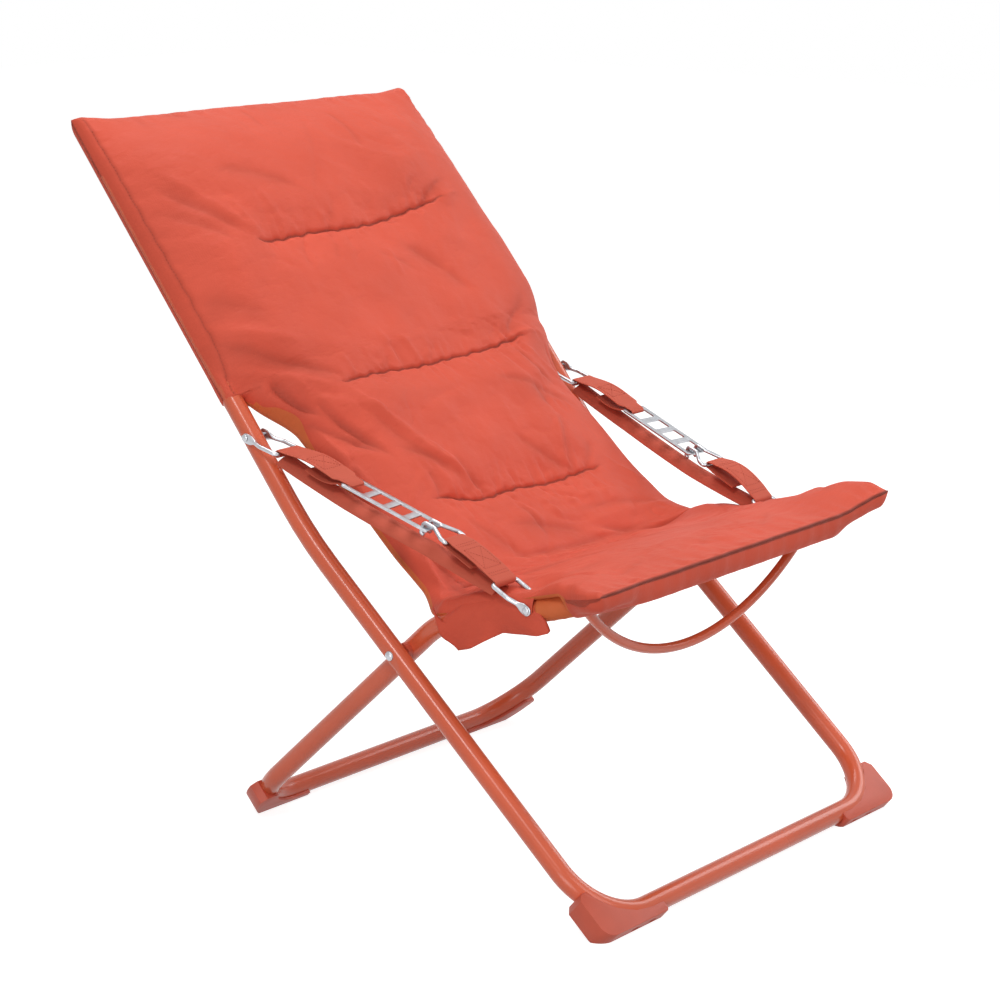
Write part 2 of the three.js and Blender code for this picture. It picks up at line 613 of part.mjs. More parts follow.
// Middle line of the band in side view, from the ladder's end bar round both bails to the hook
function strapLine() {
  const rear = flat(rearLoop);
  const front = flat(frontLoop);
  const hook = flat(hookLoop);
  const ladder = flat(ladderStart);
  const rearDirection = rear.clone().sub(ladder).normalize();
  const hookDirection = hook.clone().sub(front).normalize();
  const raise = (direction) => new THREE.Vector2(-direction.y, direction.x);
  const offset = STRAP_THICK * HALF + STRAP_GAP;
  const barLift = LADDER_THICK * HALF + offset;
  const barBack = LADDER_BAR * HALF + offset;
  const along = flat(armX).normalize();
  const above = flat(ladderUp).normalize();
  const barPoint = (forward, up) => ladder.clone().addScaledVector(along, forward).addScaledVector(above, up);
  const points = [];
  const lapEnd = ladder.clone().addScaledVector(rearDirection, STRAP_LAP);
  points.push(lapEnd.addScaledVector(raise(rearDirection), BAIL_WIRE + offset - STRAP_THICK * LAP_DROP_SHARE));
  points.push(barPoint(-barBack * BAR_RUN_SHARE, -barLift), barPoint(barBack - offset, -barLift));
  points.push(barPoint(barBack, -barLift + offset), barPoint(barBack, barLift - offset));
  points.push(barPoint(barBack - offset, barLift), barPoint(-barBack * BAR_RUN_SHARE, barLift));
  const rearAngle = Math.atan2(rearDirection.y, rearDirection.x);
  points.push(...arcPoints(rear, BAIL_WIRE + offset, rearAngle + QUARTER_TURN, rearAngle - QUARTER_TURN));
  const chord = front.clone().sub(rear);
  const drop = BAIL_WIRE + offset;
  for (let i = 1; i < STRAP_RUN; i += 1) {
    const share = i / STRAP_RUN;
    const sag = SAG_SHARE * STRAP_SAG * share * (1 - share) + drop;
    points.push(rear.clone().addScaledVector(chord, share).add(new THREE.Vector2(0, -sag)));
  }
  const hookAngle = Math.atan2(hookDirection.y, hookDirection.x);
  points.push(...arcPoints(front, BAIL_WIRE + offset, hookAngle - QUARTER_TURN,
    hookAngle - QUARTER_TURN - HALF_TURN));
  points.push(...arcPoints(hook, HOOK_WIRE + offset, hookAngle + QUARTER_TURN, hookAngle - QUARTER_TURN));
  const lap = hook.clone().addScaledVector(hookDirection, -STRAP_LAP);
  points.push(lap.addScaledVector(raise(hookDirection), BAIL_WIRE + offset - STRAP_THICK * LAP_DROP_SHARE));
  return points;
}

function offsetLine(points, distance) {
  return points.map((point, i) => {
    const before = points[Math.max(i - 1, 0)];
    const after = points[Math.min(i + 1, points.length - 1)];
    const first = point.clone().sub(before);
    const second = after.clone().sub(point);
    const one = first.lengthSq() > 0 ? first.normalize() : second.clone().normalize();
    const two = second.lengthSq() > 0 ? second.normalize() : one.clone();
    const middle = one.clone().add(two).normalize();
    const stretch = 1 / Math.max(middle.dot(one), HALF);
    return point.clone().add(new THREE.Vector2(-middle.y, middle.x).multiplyScalar(distance * stretch));
  });
}

// Middle of the arm across the chair at a given depth
function armCentre(y) {
  const stations = [rearPivot, rearLoop, ladderStart, ladderEnd, hookLoop, frontLoop, frontPivot];
  for (let i = 1; i < stations.length; i += 1) {
    const high = stations[i - 1];
    const low = stations[i];
    if (y >= low.y || i === stations.length - 1) {
      return low.x + ((high.x - low.x) * (y - low.y)) / (high.y - low.y);
    }
  }
  return frontPivot.x;
}

function strapWidthAt(y, z) {
  const place = new THREE.Vector2(y, z);
  const nearest = (point, narrow) => {
    const beyond = Math.max(place.distanceTo(flat(point)) - STRAP_LOOP_REACH, 0);
    const share = Math.min(beyond / STRAP_NARROWING, 1);
    return narrow + (STRAP_WIDTH - narrow) * share;
  };
  return Math.min(nearest(rearLoop, STRAP_LOOP_WIDTH), nearest(frontLoop, STRAP_LOOP_WIDTH),
    nearest(hookLoop, STRAP_LADDER_WIDTH), nearest(ladderStart, STRAP_LADDER_WIDTH));
}

// The loops round the ladder and the hook are turned with them
function strapSkewAt(y, z) {
  const place = new THREE.Vector2(y, z);
  const near = Math.min(place.distanceTo(flat(ladderStart)), place.distanceTo(flat(hookLoop)));
  const share = THREE.MathUtils.smoothstep(near, STRAP_NARROWING * HALF, STRAP_NARROWING * SKEW_SHARE);
  return (1 - share) * (ladderAcross.y / ladderAcross.x);
}

function makeStrap() {
  const middle = strapLine();
  const upper = offsetLine(middle, STRAP_THICK * HALF);
  const lower = offsetLine(middle, -STRAP_THICK * HALF).reverse();
  const outline = [...upper, ...lower];
  const geometry = new THREE.ExtrudeGeometry(new THREE.Shape(outline), { depth: 1, bevelEnabled: false });
  const position = geometry.attributes.position;
  for (let i = 0; i < position.count; i += 1) {
    const y = position.getX(i);
    const z = position.getY(i);
    const side = (position.getZ(i) - HALF) * strapWidthAt(y, z);
    position.setXYZ(i, armCentre(y) + side, y + side * strapSkewAt(y, z), z);
  }
  return toManifold(geometry);
}

/* Pad */

const padCurve = new THREE.CatmullRomCurve3(PAD_LINE.map(([y, z]) => vec(0, y, z)), false, 'centripetal');
const padLength = padCurve.getLength();

function padHalfWidth(along) {
  const blend = (from, to, start, run) => {
    const share = THREE.MathUtils.smoothstep(along, start, start + run);
    return from + (to - from) * share;
  };
  if (along < SLEEVE_END + SLEEVE_RUNOUT) {
    return blend(PAD_HEAD_HALF, PAD_WAIST_HALF, SLEEVE_END, SLEEVE_RUNOUT);
  }
  if (along < ARM_CUT_START + ARM_CUT_RUNOUT) {
    return blend(PAD_WAIST_HALF, PAD_ARM_HALF, ARM_CUT_START, ARM_CUT_RUNOUT);
  }
  return blend(PAD_ARM_HALF, PAD_FRONT_HALF, ARM_CUT_END, ARM_CUT_RUNOUT);
}

function tuftDepth(along, across) {
  const reach = THREE.MathUtils.smoothstep(1 - Math.abs(across), 1 - TUFT_SHARE, TUFT_FADE_SHARE - TUFT_SHARE);
  const near = TUFTS.map((tuft) => Math.exp(-(((along - tuft) / TUFT_SPREAD) ** 2)));
  return TUFT_DEPTH * reach * Math.max(...near);
}

function padThickness(along, across) {
  const toFront = THREE.MathUtils.smoothstep(along, CROWN_FALL_START, CROWN_FALL_END);
  const crown = PAD_CROWN + (PAD_FRONT_CROWN - PAD_CROWN) * toFront;
  const shape = 1 - Math.abs(across) ** CROWN_POWER;
  return PAD_EDGE + (crown - PAD_EDGE) * shape - tuftDepth(along, across);
}

// The pad thins out in a round nose at the head and at the front rail
function endShare(along) {
  const round = (distance, radius, least) => {
    const share = Math.min(Math.max(distance / radius, 0), 1);
    return least + (1 - least) * Math.sqrt(1 - (1 - share) ** 2);
  };
  const headRise = 1 - Math.max(1 - along / HEAD_ROUNDING, 0) ** HEAD_POWER;
  const head = HEAD_EDGE_SHARE + (1 - HEAD_EDGE_SHARE) * headRise;
  return Math.min(head, round(padLength - along, FRONT_ROUNDING, FRONT_EDGE_SHARE));
}

// Underside: sags between the side tubes and lies over them where the pad is as wide as they are
function padUnderside(along, across) {
  const half = padHalfWidth(along);
  const overTube = along < SLEEVE_END ? Math.abs(across) >= TUBE_COLUMN_SHARE : half > INNER_WIDTH * HALF;
  const wide = overTube && Math.abs(across) >= TUBE_COLUMN_SHARE;
  const headEnd = along < HEAD_OVER_TUBE;
  const frontEnd = along > padLength - FRONT_OVER_TUBE;
  return wide || headEnd || frontEnd ? PAD_OVER_TUBE : PAD_BELLY;
}

function padStations(start, end) {
  const stations = new Set([start, end]);
  const rows = Math.ceil((end - start) / PAD_ROW);
  for (let i = 1; i < rows; i += 1) {
    stations.add(start + ((end - start) * i) / rows);
  }
  for (const tuft of TUFTS) {
    for (const row of TUFT_ROWS) {
      stations.add(tuft + row * TUFT_SPREAD * TUFT_ROW_SHARE);
    }
  }
  for (const share of HEAD_ROW_SHARES) {
    stations.add(HEAD_ROUNDING * share);
  }
  for (const share of FRONT_ROW_SHARES) {
    stations.add(padLength - FRONT_ROUNDING * share);
  }
  stations.add(HEAD_OVER_TUBE - PAD_ROW_EDGE);
  stations.add(SLEEVE_END - PAD_ROW_EDGE);
  stations.add(SLEEVE_END + SLEEVE_RUNOUT);
  stations.add(ARM_CUT_END);
  stations.add(padLength - FRONT_OVER_TUBE + PAD_ROW_EDGE);
  const inside = [...stations].filter((value) => value >= start && value <= end).sort((a, b) => a - b);
  const leastRow = TUFT_SPREAD * LEAST_ROW_SHARE;
  return inside.filter((value, i) => i === 0 || i === inside.length - 1 || value - inside[i - 1] > leastRow);
}

function padPoint(along, across, height) {
  const share = along / padLength;
  const base = padCurve.getPointAt(share);
  const tangent = padCurve.getTangentAt(share);
  const up = vec(0, tangent.z, -tangent.y);
  const low = padUnderside(along, across);
  const thick = padThickness(along, across);
  const edge = 1 - Math.abs(2 * height - 1);
  const side = Math.sign(across) * (Math.abs(across) === 1 ? PAD_BULGE * edge : 0);
  const edgeThick = along < SLEEVE_END ? PAD_SLEEVE_EDGE : PAD_EDGE;
  const top = Math.abs(across) === 1 ? low + edgeThick : Math.max(thick, low + edgeThick);
  const lift = low + (top - low) * endShare(along) * height;
  return base.addScaledVector(up, lift).add(vec(across * padHalfWidth(along) + side, 0, 0));
}

// A box cut into rows and columns is laid along the pad's line
function makePad(start, end) {
  const stations = padStations(start, end);
  const columns = PAD_COLUMN_SHARES.length - 1;
  const box = new THREE.BoxGeometry(columns, stations.length - 1, 1, columns, stations.length - 1, 2);
  const position = box.attributes.position;
  for (let i = 0; i < position.count; i += 1) {
    const column = Math.round(position.getX(i) + columns * HALF);
    const row = Math.round((stations.length - 1) * HALF - position.getY(i));
    const height = position.getZ(i) + HALF;
    const point = padPoint(stations[row], PAD_COLUMN_SHARES[column], height);
    position.setXYZ(i, point.x, point.y, point.z);
  }
  return toManifold(box);
}

/* Assembly */

const group = new THREE.Group();
group.name = 'folding_relax_chair';

function addPiece(name, solid, finish) {
  const material = new THREE.MeshStandardMaterial(finish);
  const mesh = new THREE.Mesh(toGeometry(solid), material);
  mesh.name = name;
  mesh.geometry.computeVertexNormals();
  group.add(mesh);
}

const mirrored = (solid, side) => (side < 0 ? solid.scale([-1, 1, 1]) : solid);

const FRONT_FOOT = { width: OUTER_WIDTH, corner: OUTER_FLOOR_CORNER, reach: FRONT_SHOE_REACH,
  round: FRONT_SHOE_CORNER, rail: OUTER_RAIL, knee: OUTER_KNEE };
const REAR_FOOT = { width: INNER_WIDTH, corner: INNER_FLOOR_CORNER, reach: REAR_SHOE_REACH,
  round: REAR_SHOE_CORNER, rail: INNER_RAIL, knee: INNER_KNEE };

addPiece('outer_frame', makeFrame(outerLine, OUTER_WIDTH, OUTER_WIDTH * HALF, REAR_BAIL_PIVOT), PAINT);
addPiece('inner_frame', makeFrame(innerLine, INNER_WIDTH, FRONT_BAIL_X, FRONT_BAIL_PIVOT), PAINT);
addPiece('seat_bow', makeBow(), PAINT);

const rearBail = makeBail(rearPivot, rearAim);
const frontBail = makeBail(frontPivot, frontAim);
const ladder = makeLadder();
const hook = makeHook();
const strap = makeStrap();

for (const side of SIDES) {
  const end = sideName(side);
  addPiece(`front_foot_${end}`, makeShoe(side, FRONT_FOOT, outerLine), MOULDING);
  addPiece(`rear_foot_${end}`, makeShoe(side, REAR_FOOT, innerLine), MOULDING);
  addPiece(`pivot_rivet_${end}`, makePivotRivet(side), ZINC);
  addPiece(`pivot_spacer_${end}`, makeSpacer(side), MOULDING);
  addPiece(`rear_bail_${end}`, mirrored(rearBail, side), ZINC);
  addPiece(`rear_bail_rivet_${end}`, mirrored(makeBailRivet(rearPivot), side), ZINC);
  addPiece(`front_bail_${end}`, mirrored(frontBail, side), ZINC);
  addPiece(`front_bail_rivet_${end}`, mirrored(makeBailRivet(frontPivot), side), ZINC);
  addPiece(`ladder_${end}`, mirrored(ladder, side), ZINC);
  addPiece(`hook_${end}`, mirrored(hook, side), ZINC);
  addPiece(`arm_strap_${end}`, mirrored(strap, side), WEBBING);
}

addPiece('back_pad', makePad(0, BACK_PAD_END - PAD_SEAM_GAP), CLOTH);
addPiece('waist_pad', makePad(BACK_PAD_END, SEAT_PAD_START - PAD_SEAM_GAP), CLOTH);
addPiece('seat_pad', makePad(SEAT_PAD_START, padLength), CLOTH);

// The chair is moved along Y only, so that its box is centred over the origin
const box = new THREE.Box3().setFromObject(group);
const centreY = (box.min.y + box.max.y) * HALF;
for (const mesh of group.children) {
  mesh.geometry.translate(0, -centreY, 0);
}

console.log(`chair moved along Y by ${-centreY} mm`);

export default group;
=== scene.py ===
"""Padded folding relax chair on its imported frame: painted tubes, zinc fittings, webbing and a sewn pad."""

import logging
import math
from dataclasses import dataclass, field
from enum import Enum
from typing import ClassVar

import bpy
import bmesh
import numpy as np
from bpy.types import ID, Material, Node, NodeSocket, NodeTree, Object
from mathutils import Matrix, Vector


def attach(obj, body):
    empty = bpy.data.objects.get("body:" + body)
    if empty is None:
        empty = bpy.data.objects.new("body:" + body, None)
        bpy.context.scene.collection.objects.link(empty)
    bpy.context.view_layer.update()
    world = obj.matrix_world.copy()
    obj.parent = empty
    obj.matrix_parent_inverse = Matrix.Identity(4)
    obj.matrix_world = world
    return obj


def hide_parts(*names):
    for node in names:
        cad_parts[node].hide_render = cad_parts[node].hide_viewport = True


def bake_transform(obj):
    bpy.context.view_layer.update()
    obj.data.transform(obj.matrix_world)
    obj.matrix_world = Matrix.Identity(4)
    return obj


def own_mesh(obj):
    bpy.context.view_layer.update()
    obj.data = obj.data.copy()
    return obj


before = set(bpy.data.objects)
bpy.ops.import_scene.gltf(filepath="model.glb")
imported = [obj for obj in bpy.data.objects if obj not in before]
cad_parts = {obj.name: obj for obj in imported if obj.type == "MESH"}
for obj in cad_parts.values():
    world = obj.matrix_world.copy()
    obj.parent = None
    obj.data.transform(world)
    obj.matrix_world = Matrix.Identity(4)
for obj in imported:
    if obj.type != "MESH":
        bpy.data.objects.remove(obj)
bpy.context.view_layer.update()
LOG = logging.getLogger("relax_chair")
MM = 0.001
# Metres that the side view is moved along Y, so that the origin lies under the middle of the chair
SHIFT_Y = -0.1879347


class Side(Enum):
    """The two sides of the chair, seen by its sitter: right is -X and left is +X."""

    RIGHT = -1
    LEFT = 1

    @property
    def suffix(self) -> str:
        """Ending of this side's piece names."""
        return "r" if self is Side.RIGHT else "l"


# Shared numbers of the side view, in millimetres before the chair is moved over its origin
OUTER_RAIL = (-213.4, 15.5)
OUTER_KNEE = (233.4, 393.0)
OUTER_HEAD = (598.0, 841.4)
INNER_RAIL = (373.2, 15.5)
INNER_KNEE = (49.5, 315.6)
INNER_SEAT = (-190.0, 382.0)
PIVOT = (93.5, 274.8)
REAR_PIVOT = (287.5, 318.0, 503.0)
REAR_LOOP = (282.868, 267.902, 489.858)
FRONT_PIVOT = (256.4, -90.0, 357.5)
FRONT_LOOP = (256.974, -43.446, 380.661)
HOOK_LOOP = (257.867, 28.873, 416.641)
LADDER_START = (274.0, 172.0, 464.7)
LADDER_STEP = (-3.69, -27.72, -9.38)
LADDER_SLOTS = 4
# Straight up in side view
UP = np.array([0.0, 1.0])


def smooth(value: np.ndarray | float, low: float, high: float) -> np.ndarray:
    """Smooth step from 0 at low to 1 at high.

    Args:
        value: number or array.
        low: where the step starts.
        high: where the step ends.

    Returns:
        The step, of the shape of value.
    """
    share = np.clip((np.asarray(value, float) - low) / (high - low), 0.0, 1.0)
    return share * share * (3.0 - 2.0 * share)


def hump(value: np.ndarray, middle: float, reach: float) -> np.ndarray:
    """Bell curve of height 1 about a middle."""
    return np.exp(-((value - middle) / reach) ** 2)


def fade(distance: np.ndarray, reach: float, power: float) -> np.ndarray:
    """Curve that falls from 1 towards 0 with distance."""
    return np.exp(-(distance / reach) ** power)


def quarter_round(share: np.ndarray) -> np.ndarray:
    """Quarter circle from 0 to 1."""
    inner = np.clip(share, 0, 1)
    return np.sqrt(np.clip(1 - (1 - inner) ** 2, 0, 1))


def random_field(s: np.ndarray, x: np.ndarray, scale: float, seed: int, waves: int = 14) -> np.ndarray:
    """Smooth random field, mostly between -1 and 1.

    Args:
        s: places along.
        x: places across, of the same shape.
        scale: mean wavelength.
        seed: seed of its random waves.
        waves: number of plane waves that are added up.

    Returns:
        The field, of the shape of s.
    """
    generator = np.random.default_rng(seed)
    height = np.zeros_like(s)
    for _ in range(waves):
        angle, phase = generator.uniform(0, math.pi), generator.uniform(0, 2 * math.pi)
        wave = scale * generator.uniform(0.6, 1.5)
        height += np.sin(2 * math.pi * (s * math.cos(angle) + x * math.sin(angle)) / wave + phase)
    return height / math.sqrt(waves * 0.5) / 1.6


def crease_field(s: np.ndarray, x: np.ndarray, scale: float, seed: int) -> np.ndarray:
    """Network of fine creases: valleys along the zero lines of a warped random field, here and there."""
    warp = random_field(s, x, scale * 1.4, seed + 1) * scale * 0.35
    valleys = random_field(s + warp, x - warp * 0.7, scale, seed)
    strength = np.clip(random_field(s, x, scale * 1.7, seed + 2) + 0.25, 0, 1)
    return -fade(np.abs(valleys), 0.16, 1.4) * strength


def row_points(points: np.ndarray) -> np.ndarray:
    """Turns millimetre points of the side-view frame into metres of the row frame.

    Args:
        points: array whose last axis is x, y, z.

    Returns:
        The same points in metres, moved over the chair's origin.
    """
    placed = np.asarray(points, float) * MM
    placed[..., 1] += SHIFT_Y
    return placed


def make_mesh(name: str, verts: np.ndarray, faces: list, smooth_faces: bool = True) -> Object:
    """Makes a mesh object at the origin.

    Args:
        name: object name.
        verts: metres, one row per vertex.
        faces: index tuples.
        smooth_faces: True to shade the faces smoothly.

    Returns:
        The linked object.
    """
    mesh = bpy.data.meshes.new(name)
    mesh.from_pydata([tuple(v) for v in verts], [], faces)
    mesh.validate()
    mesh.polygons.foreach_set("use_smooth", [smooth_faces] * len(mesh.polygons))
    return link_object(name, mesh)


def link_object(name: str, data: ID) -> Object:
    """Makes an object of a mesh, lamp or camera and links it to the scene."""
    made = bpy.data.objects.new(name, data)
    bpy.context.scene.collection.objects.link(made)
    return made


def shade_smooth(piece: Object) -> None:
    """Shades every face of a piece smoothly."""
    piece.data.polygons.foreach_set("use_smooth", [True] * len(piece.data.polygons))


def face_outwards(piece: Object) -> None:
    """Turns every face of a closed piece outwards."""
    work = bmesh.new()
    work.from_mesh(piece.data)
    bmesh.ops.recalc_face_normals(work, faces=work.faces)
    work.to_mesh(piece.data)
    work.free()


def set_uv(piece: Object, flat: np.ndarray) -> None:
    """Lays a piece out flat for its cloth, from one flat place in metres for each vertex."""
    corners = np.zeros(len(piece.data.loops), int)
    piece.data.loops.foreach_get("vertex_index", corners)
    piece.data.uv_layers.new(name="cloth").data.foreach_set("uv", flat[corners].reshape(-1))


def lengths_along(points: np.ndarray) -> np.ndarray:
    """Length of a polyline up to each of its points."""
    return np.concatenate([[0], np.cumsum(np.linalg.norm(np.diff(points, axis=0), axis=1))])


def unit_tangents(points: np.ndarray) -> np.ndarray:
    """Direction of a polyline at each of its points."""
    tangent = np.gradient(points, axis=0)
    return tangent / np.linalg.norm(tangent, axis=1)[:, None]


def bent_line(corners: list, radii: list, turn_step: float = math.radians(4)) -> np.ndarray:
    """Rounds the corners of a polyline into arcs.

    Args:
        corners: points in millimetres.
        radii: one bend radius per corner, 0 at the ends.
        turn_step: largest turn between two points.

    Returns:
        The points of the rounded line.
    """
    points = [Vector(corners[0])]
    for before, corner, after, radius in zip(corners, corners[1:], corners[2:], radii[1:]):
        corner = Vector(corner)
        inward = (corner - Vector(before)).normalized()
        outward = (Vector(after) - corner).normalized()
        turn = inward.angle(outward)
        axis = inward.cross(outward).normalized()
        toward = axis.cross(inward).normalized()
        start = corner - inward * radius * math.tan(turn / 2)
        centre = start + toward * radius
        steps = max(2, math.ceil(turn / turn_step))
        for step in range(steps + 1):
            points.append(centre + Matrix.Rotation(turn * step / steps, 3, axis) @ (start - centre))
    points.append(Vector(corners[-1]))
    return np.array([tuple(p) for p in points])


def resample(points: np.ndarray, step: float) -> np.ndarray:
    """Adds points along the straight runs of a polyline so that none is longer than step."""
    result = [points[0]]
    for start, end in zip(points, points[1:]):
        parts = max(1, int(np.linalg.norm(end - start) // step))
        result += [start + (end - start) * k / parts for k in range(1, parts + 1)]
    return np.array(result)


def sweep(name: str, points: np.ndarray, radius: np.ndarray, facets: int = 32, closed: bool = False,
          second: np.ndarray | None = None, first_axis: Vector | None = None) -> Object:
    """Sweeps a round or oval section along a line.

    Args:
        name: object name.
        points: centre line in millimetres.
        radius: half width of the section along its first axis, one number or one per point.
        facets: corners of the section.
        closed: True where the line's end meets its start.
        second: half width along the second axis, if it isn't the same.
        first_axis: direction that the first axis keeps to, as far as it can.

    Returns:
        The swept object.
    """
    count = len(points)
    wide = np.broadcast_to(np.asarray(radius, float), count)
    high = wide if second is None else np.broadcast_to(np.asarray(second, float), count)
    line = [Vector(p) for p in points]
    axis = None if first_axis is None else Vector(first_axis)
    rings = []
    for index, point in enumerate(line):
        behind = line[(index - 1) % count] if closed or index > 0 else point
        ahead = line[(index + 1) % count] if closed or index < count - 1 else point
        tangent = (ahead - behind).normalized()
        if axis is None:
            axis = tangent.orthogonal()
        across = (axis - tangent * axis.dot(tangent)).normalized()
        if first_axis is None:
            axis = across
        upward = tangent.cross(across)
        angles = [2 * math.pi * k / facets for k in range(facets)]
        rings.append([point + across * (math.cos(a) * wide[index]) + upward * (math.sin(a) * high[index])
                      for a in angles])
    verts = [tuple(v) for ring in rings for v in ring]
    faces = []
    for ring in range(count if closed else count - 1):
        here, there = ring * facets, ((ring + 1) % count) * facets
        for k in range(facets):
            after = (k + 1) % facets
            faces.append((here + k, here + after, there + after, there + k))
    if not closed:
        faces.append(tuple(range(facets))[::-1])
        faces.append(tuple((count - 1) * facets + k for k in range(facets)))
    return make_mesh(name, row_points(np.array(verts)), faces)


def dress(piece: Object, material: Material) -> None:
    """Gives a piece one material."""
    piece.data.materials.clear()
    piece.data.materials.append(material)


def flatten(piece: Object) -> Object:
    """Bakes a piece's modifiers into a plain mesh.

    Args:
        piece: object with modifiers.

    Returns:
        The same object, without modifiers.
    """
    bpy.context.view_layer.update()
    evaluated = piece.evaluated_get(bpy.context.evaluated_depsgraph_get())
    mesh = bpy.data.meshes.new_from_object(evaluated)
    piece.modifiers.clear()
    old = piece.data
    piece.data = mesh
    mesh.name = piece.name
    if old.users == 0:
        bpy.data.meshes.remove(old)
    return piece


def fill_inputs(tree: NodeTree, node: Node, inputs: dict) -> None:
    """Sets a node's inputs, by name or number, or links those given as sockets."""
    for name, value in inputs.items():
        if isinstance(value, NodeSocket):
            tree.links.new(value, node.inputs[name])
        else:
            node.inputs[name].default_value = value


def add_node(tree: NodeTree, kind: str, inputs: dict | None = None, **settings: str) -> Node:
    """Adds a node to a tree.

    Args:
        tree: node tree.
        kind: type of the node.
        inputs: values or sockets for its inputs, by name or number.
        settings: the node's own settings.

    Returns:
        The node.
    """
    node = tree.nodes.new(kind)
    for name, value in settings.items():
        setattr(node, name, value)
    fill_inputs(tree, node, inputs or {})
    return node


@dataclass(frozen=True)
class Finish:
    """Base of every finish: a node material with helpers."""

    name: str
    colour: tuple

    def start(self) -> tuple:
        """Creates the material.

        Returns:
            The material, its node tree and its Principled BSDF.
        """
        material = bpy.data.materials.new(self.name)
        material.use_nodes = True
        return material, material.node_tree, material.node_tree.nodes["Principled BSDF"]

    def coords(self, tree: NodeTree, source: str = "Object") -> NodeSocket:
        """Texture coordinates."""
        return add_node(tree, "ShaderNodeTexCoord").outputs[source]

    def noise(self, tree: NodeTree, scale: float, detail: float, vector: NodeSocket,
              rough: float = 0.5) -> NodeSocket:
        """Noise value on the given coordinates."""
        inputs = {"Scale": scale, "Detail": detail, "Roughness": rough, "Vector": vector}
        return add_node(tree, "ShaderNodeTexNoise", inputs).outputs["Fac"]

    def bump(self, tree: NodeTree, height: NodeSocket, strength: float, distance: float,
             under: NodeSocket | None = None) -> NodeSocket:
        """Bump normal from a height, on top of another bump if one is given."""
        inputs = {"Strength": strength, "Distance": distance, "Height": height}
        if under is not None:
            inputs["Normal"] = under
        return add_node(tree, "ShaderNodeBump", inputs).outputs["Normal"]

    def shade(self, amount: float) -> tuple:
        """The finish's colour, opaque, made lighter or darker by a factor."""
        return (*(min(1.0, c * amount) for c in self.colour), 1.0)

    def mottle(self, tree: NodeTree, patches: NodeSocket, dark: float, light: float,
               spread: float = 0.2) -> NodeSocket:
        """The finish's colour, darker and lighter by factors as the patches go, spread about their middle."""
        node = add_node(tree, "ShaderNodeValToRGB", {"Fac": patches})
        stops = zip(node.color_ramp.elements, (0.5 - spread, 0.5 + spread), (dark, light))
        for element, place, amount in stops:
            element.position = place
            element.color = self.shade(amount)
        return node.outputs["Color"]

    def vary(self, tree: NodeTree, patches: NodeSocket, low: float, high: float) -> NodeSocket:
        """A value that goes from low to high as the patches go."""
        inputs = {"To Min": low, "To Max": high, "Value": patches}
        return add_node(tree, "ShaderNodeMapRange", inputs).outputs["Result"]


@dataclass(frozen=True)
class HardFinish(Finish):
    """Paint, moulding or plating: faint patches of shade and gloss, and a fine grain.

    Patches and grain are noise of a scale and a detail; the grain's height is a strength and a distance.
    """

    roughness: tuple
    shades: tuple
    patches: tuple
    grain: tuple
    grain_height: tuple
    extras: dict = field(default_factory=dict)

    def build(self) -> Material:
        """Builds the finish."""
        material, tree, shader = self.start()
        place = self.coords(tree)
        patches = self.noise(tree, *self.patches, place)
        grain = self.noise(tree, *self.grain, place)
        fill_inputs(tree, shader, {
            "Base Color": self.mottle(tree, patches, *self.shades),
            "Normal": self.bump(tree, grain, *self.grain_height),
            "Roughness": self.vary(tree, patches, *self.roughness), **self.extras})
        return material


@dataclass(frozen=True)
class ClothFinish(Finish):
    """Woven polyester: plain weave on the piece's own UV map, soft creases, a slight satin sheen, and shade
    painted where the seam attribute is set.
    """

    thread: float = 0.0007
    crease: float = 0.85
    roughness: float = 0.62
    sheen: float = 0.1
    sheen_roughness: float = 0.4
    sheen_tint: tuple = (1.0, 0.5, 0.4, 1.0)
    specular: float = 0.25
    # How dark the painted shade in the seams and fold valleys is
    seam_painted_shade: float = 0.34
    patch_scale: float = 7.0
    crease_scale: float = 22.0
    crease_stretch: tuple = (1.0, 1.6, 1.0)
    crease_turn: tuple = (0.0, 0.0, 0.5)
    crease_depth: float = 0.004
    weave_strength: float = 0.25
    weave_depth: float = 0.0003
    weave_wobble: float = 0.4

    def weave(self, tree: NodeTree, place: NodeSocket) -> NodeSocket:
        """Height of the plain weave: two sets of threads that cross."""
        scale = 1.0 / (self.thread * 20.0) * 2.0
        inputs = {"Scale": scale, "Distortion": self.weave_wobble, "Vector": place}
        threads = [add_node(tree, "ShaderNodeTexWave", inputs, bands_direction=direction).outputs["Fac"]
                   for direction in ("X", "Y")]
        crossed = add_node(tree, "ShaderNodeMath", dict(enumerate(threads)), operation="MULTIPLY")
        return crossed.outputs["Value"]

    def creasing(self, tree: NodeTree, place: NodeSocket) -> NodeSocket:
        """Height of the soft creases, drawn out along one slanting direction."""
        stretched = add_node(tree, "ShaderNodeMapping", {
            "Scale": self.crease_stretch, "Rotation": self.crease_turn, "Vector": place})
        return self.noise(tree, self.crease_scale, 4.0, stretched.outputs["Vector"], 0.55)

    def build(self) -> Material:
        """Builds the cloth."""
        material, tree, shader = self.start()
        place = self.coords(tree, "UV")
        patches = self.noise(tree, self.patch_scale, 4.0, self.coords(tree))
        # The seam attribute darkens the cloth in seams and fold valleys: painted shade
        seam = add_node(tree, "ShaderNodeAttribute", attribute_name="seam")
        shaded = add_node(tree, "ShaderNodeMix", {
            "B": self.shade(self.seam_painted_shade), "Factor": seam.outputs["Fac"],
            "A": self.mottle(tree, patches, 0.92, 1.05, 0.22)}, data_type="RGBA")
        woven = self.bump(tree, self.weave(tree, place), self.weave_strength, self.weave_depth)
        fill_inputs(tree, shader, {
            "Base Color": shaded.outputs["Result"],
            "Normal": self.bump(tree, self.creasing(tree, place), self.crease, self.crease_depth, woven),
            "Roughness": self.roughness, "Sheen Weight": self.sheen, "Sheen Roughness": self.sheen_roughness,
            "Sheen Tint": self.sheen_tint, "Specular IOR Level": self.specular})
        return material


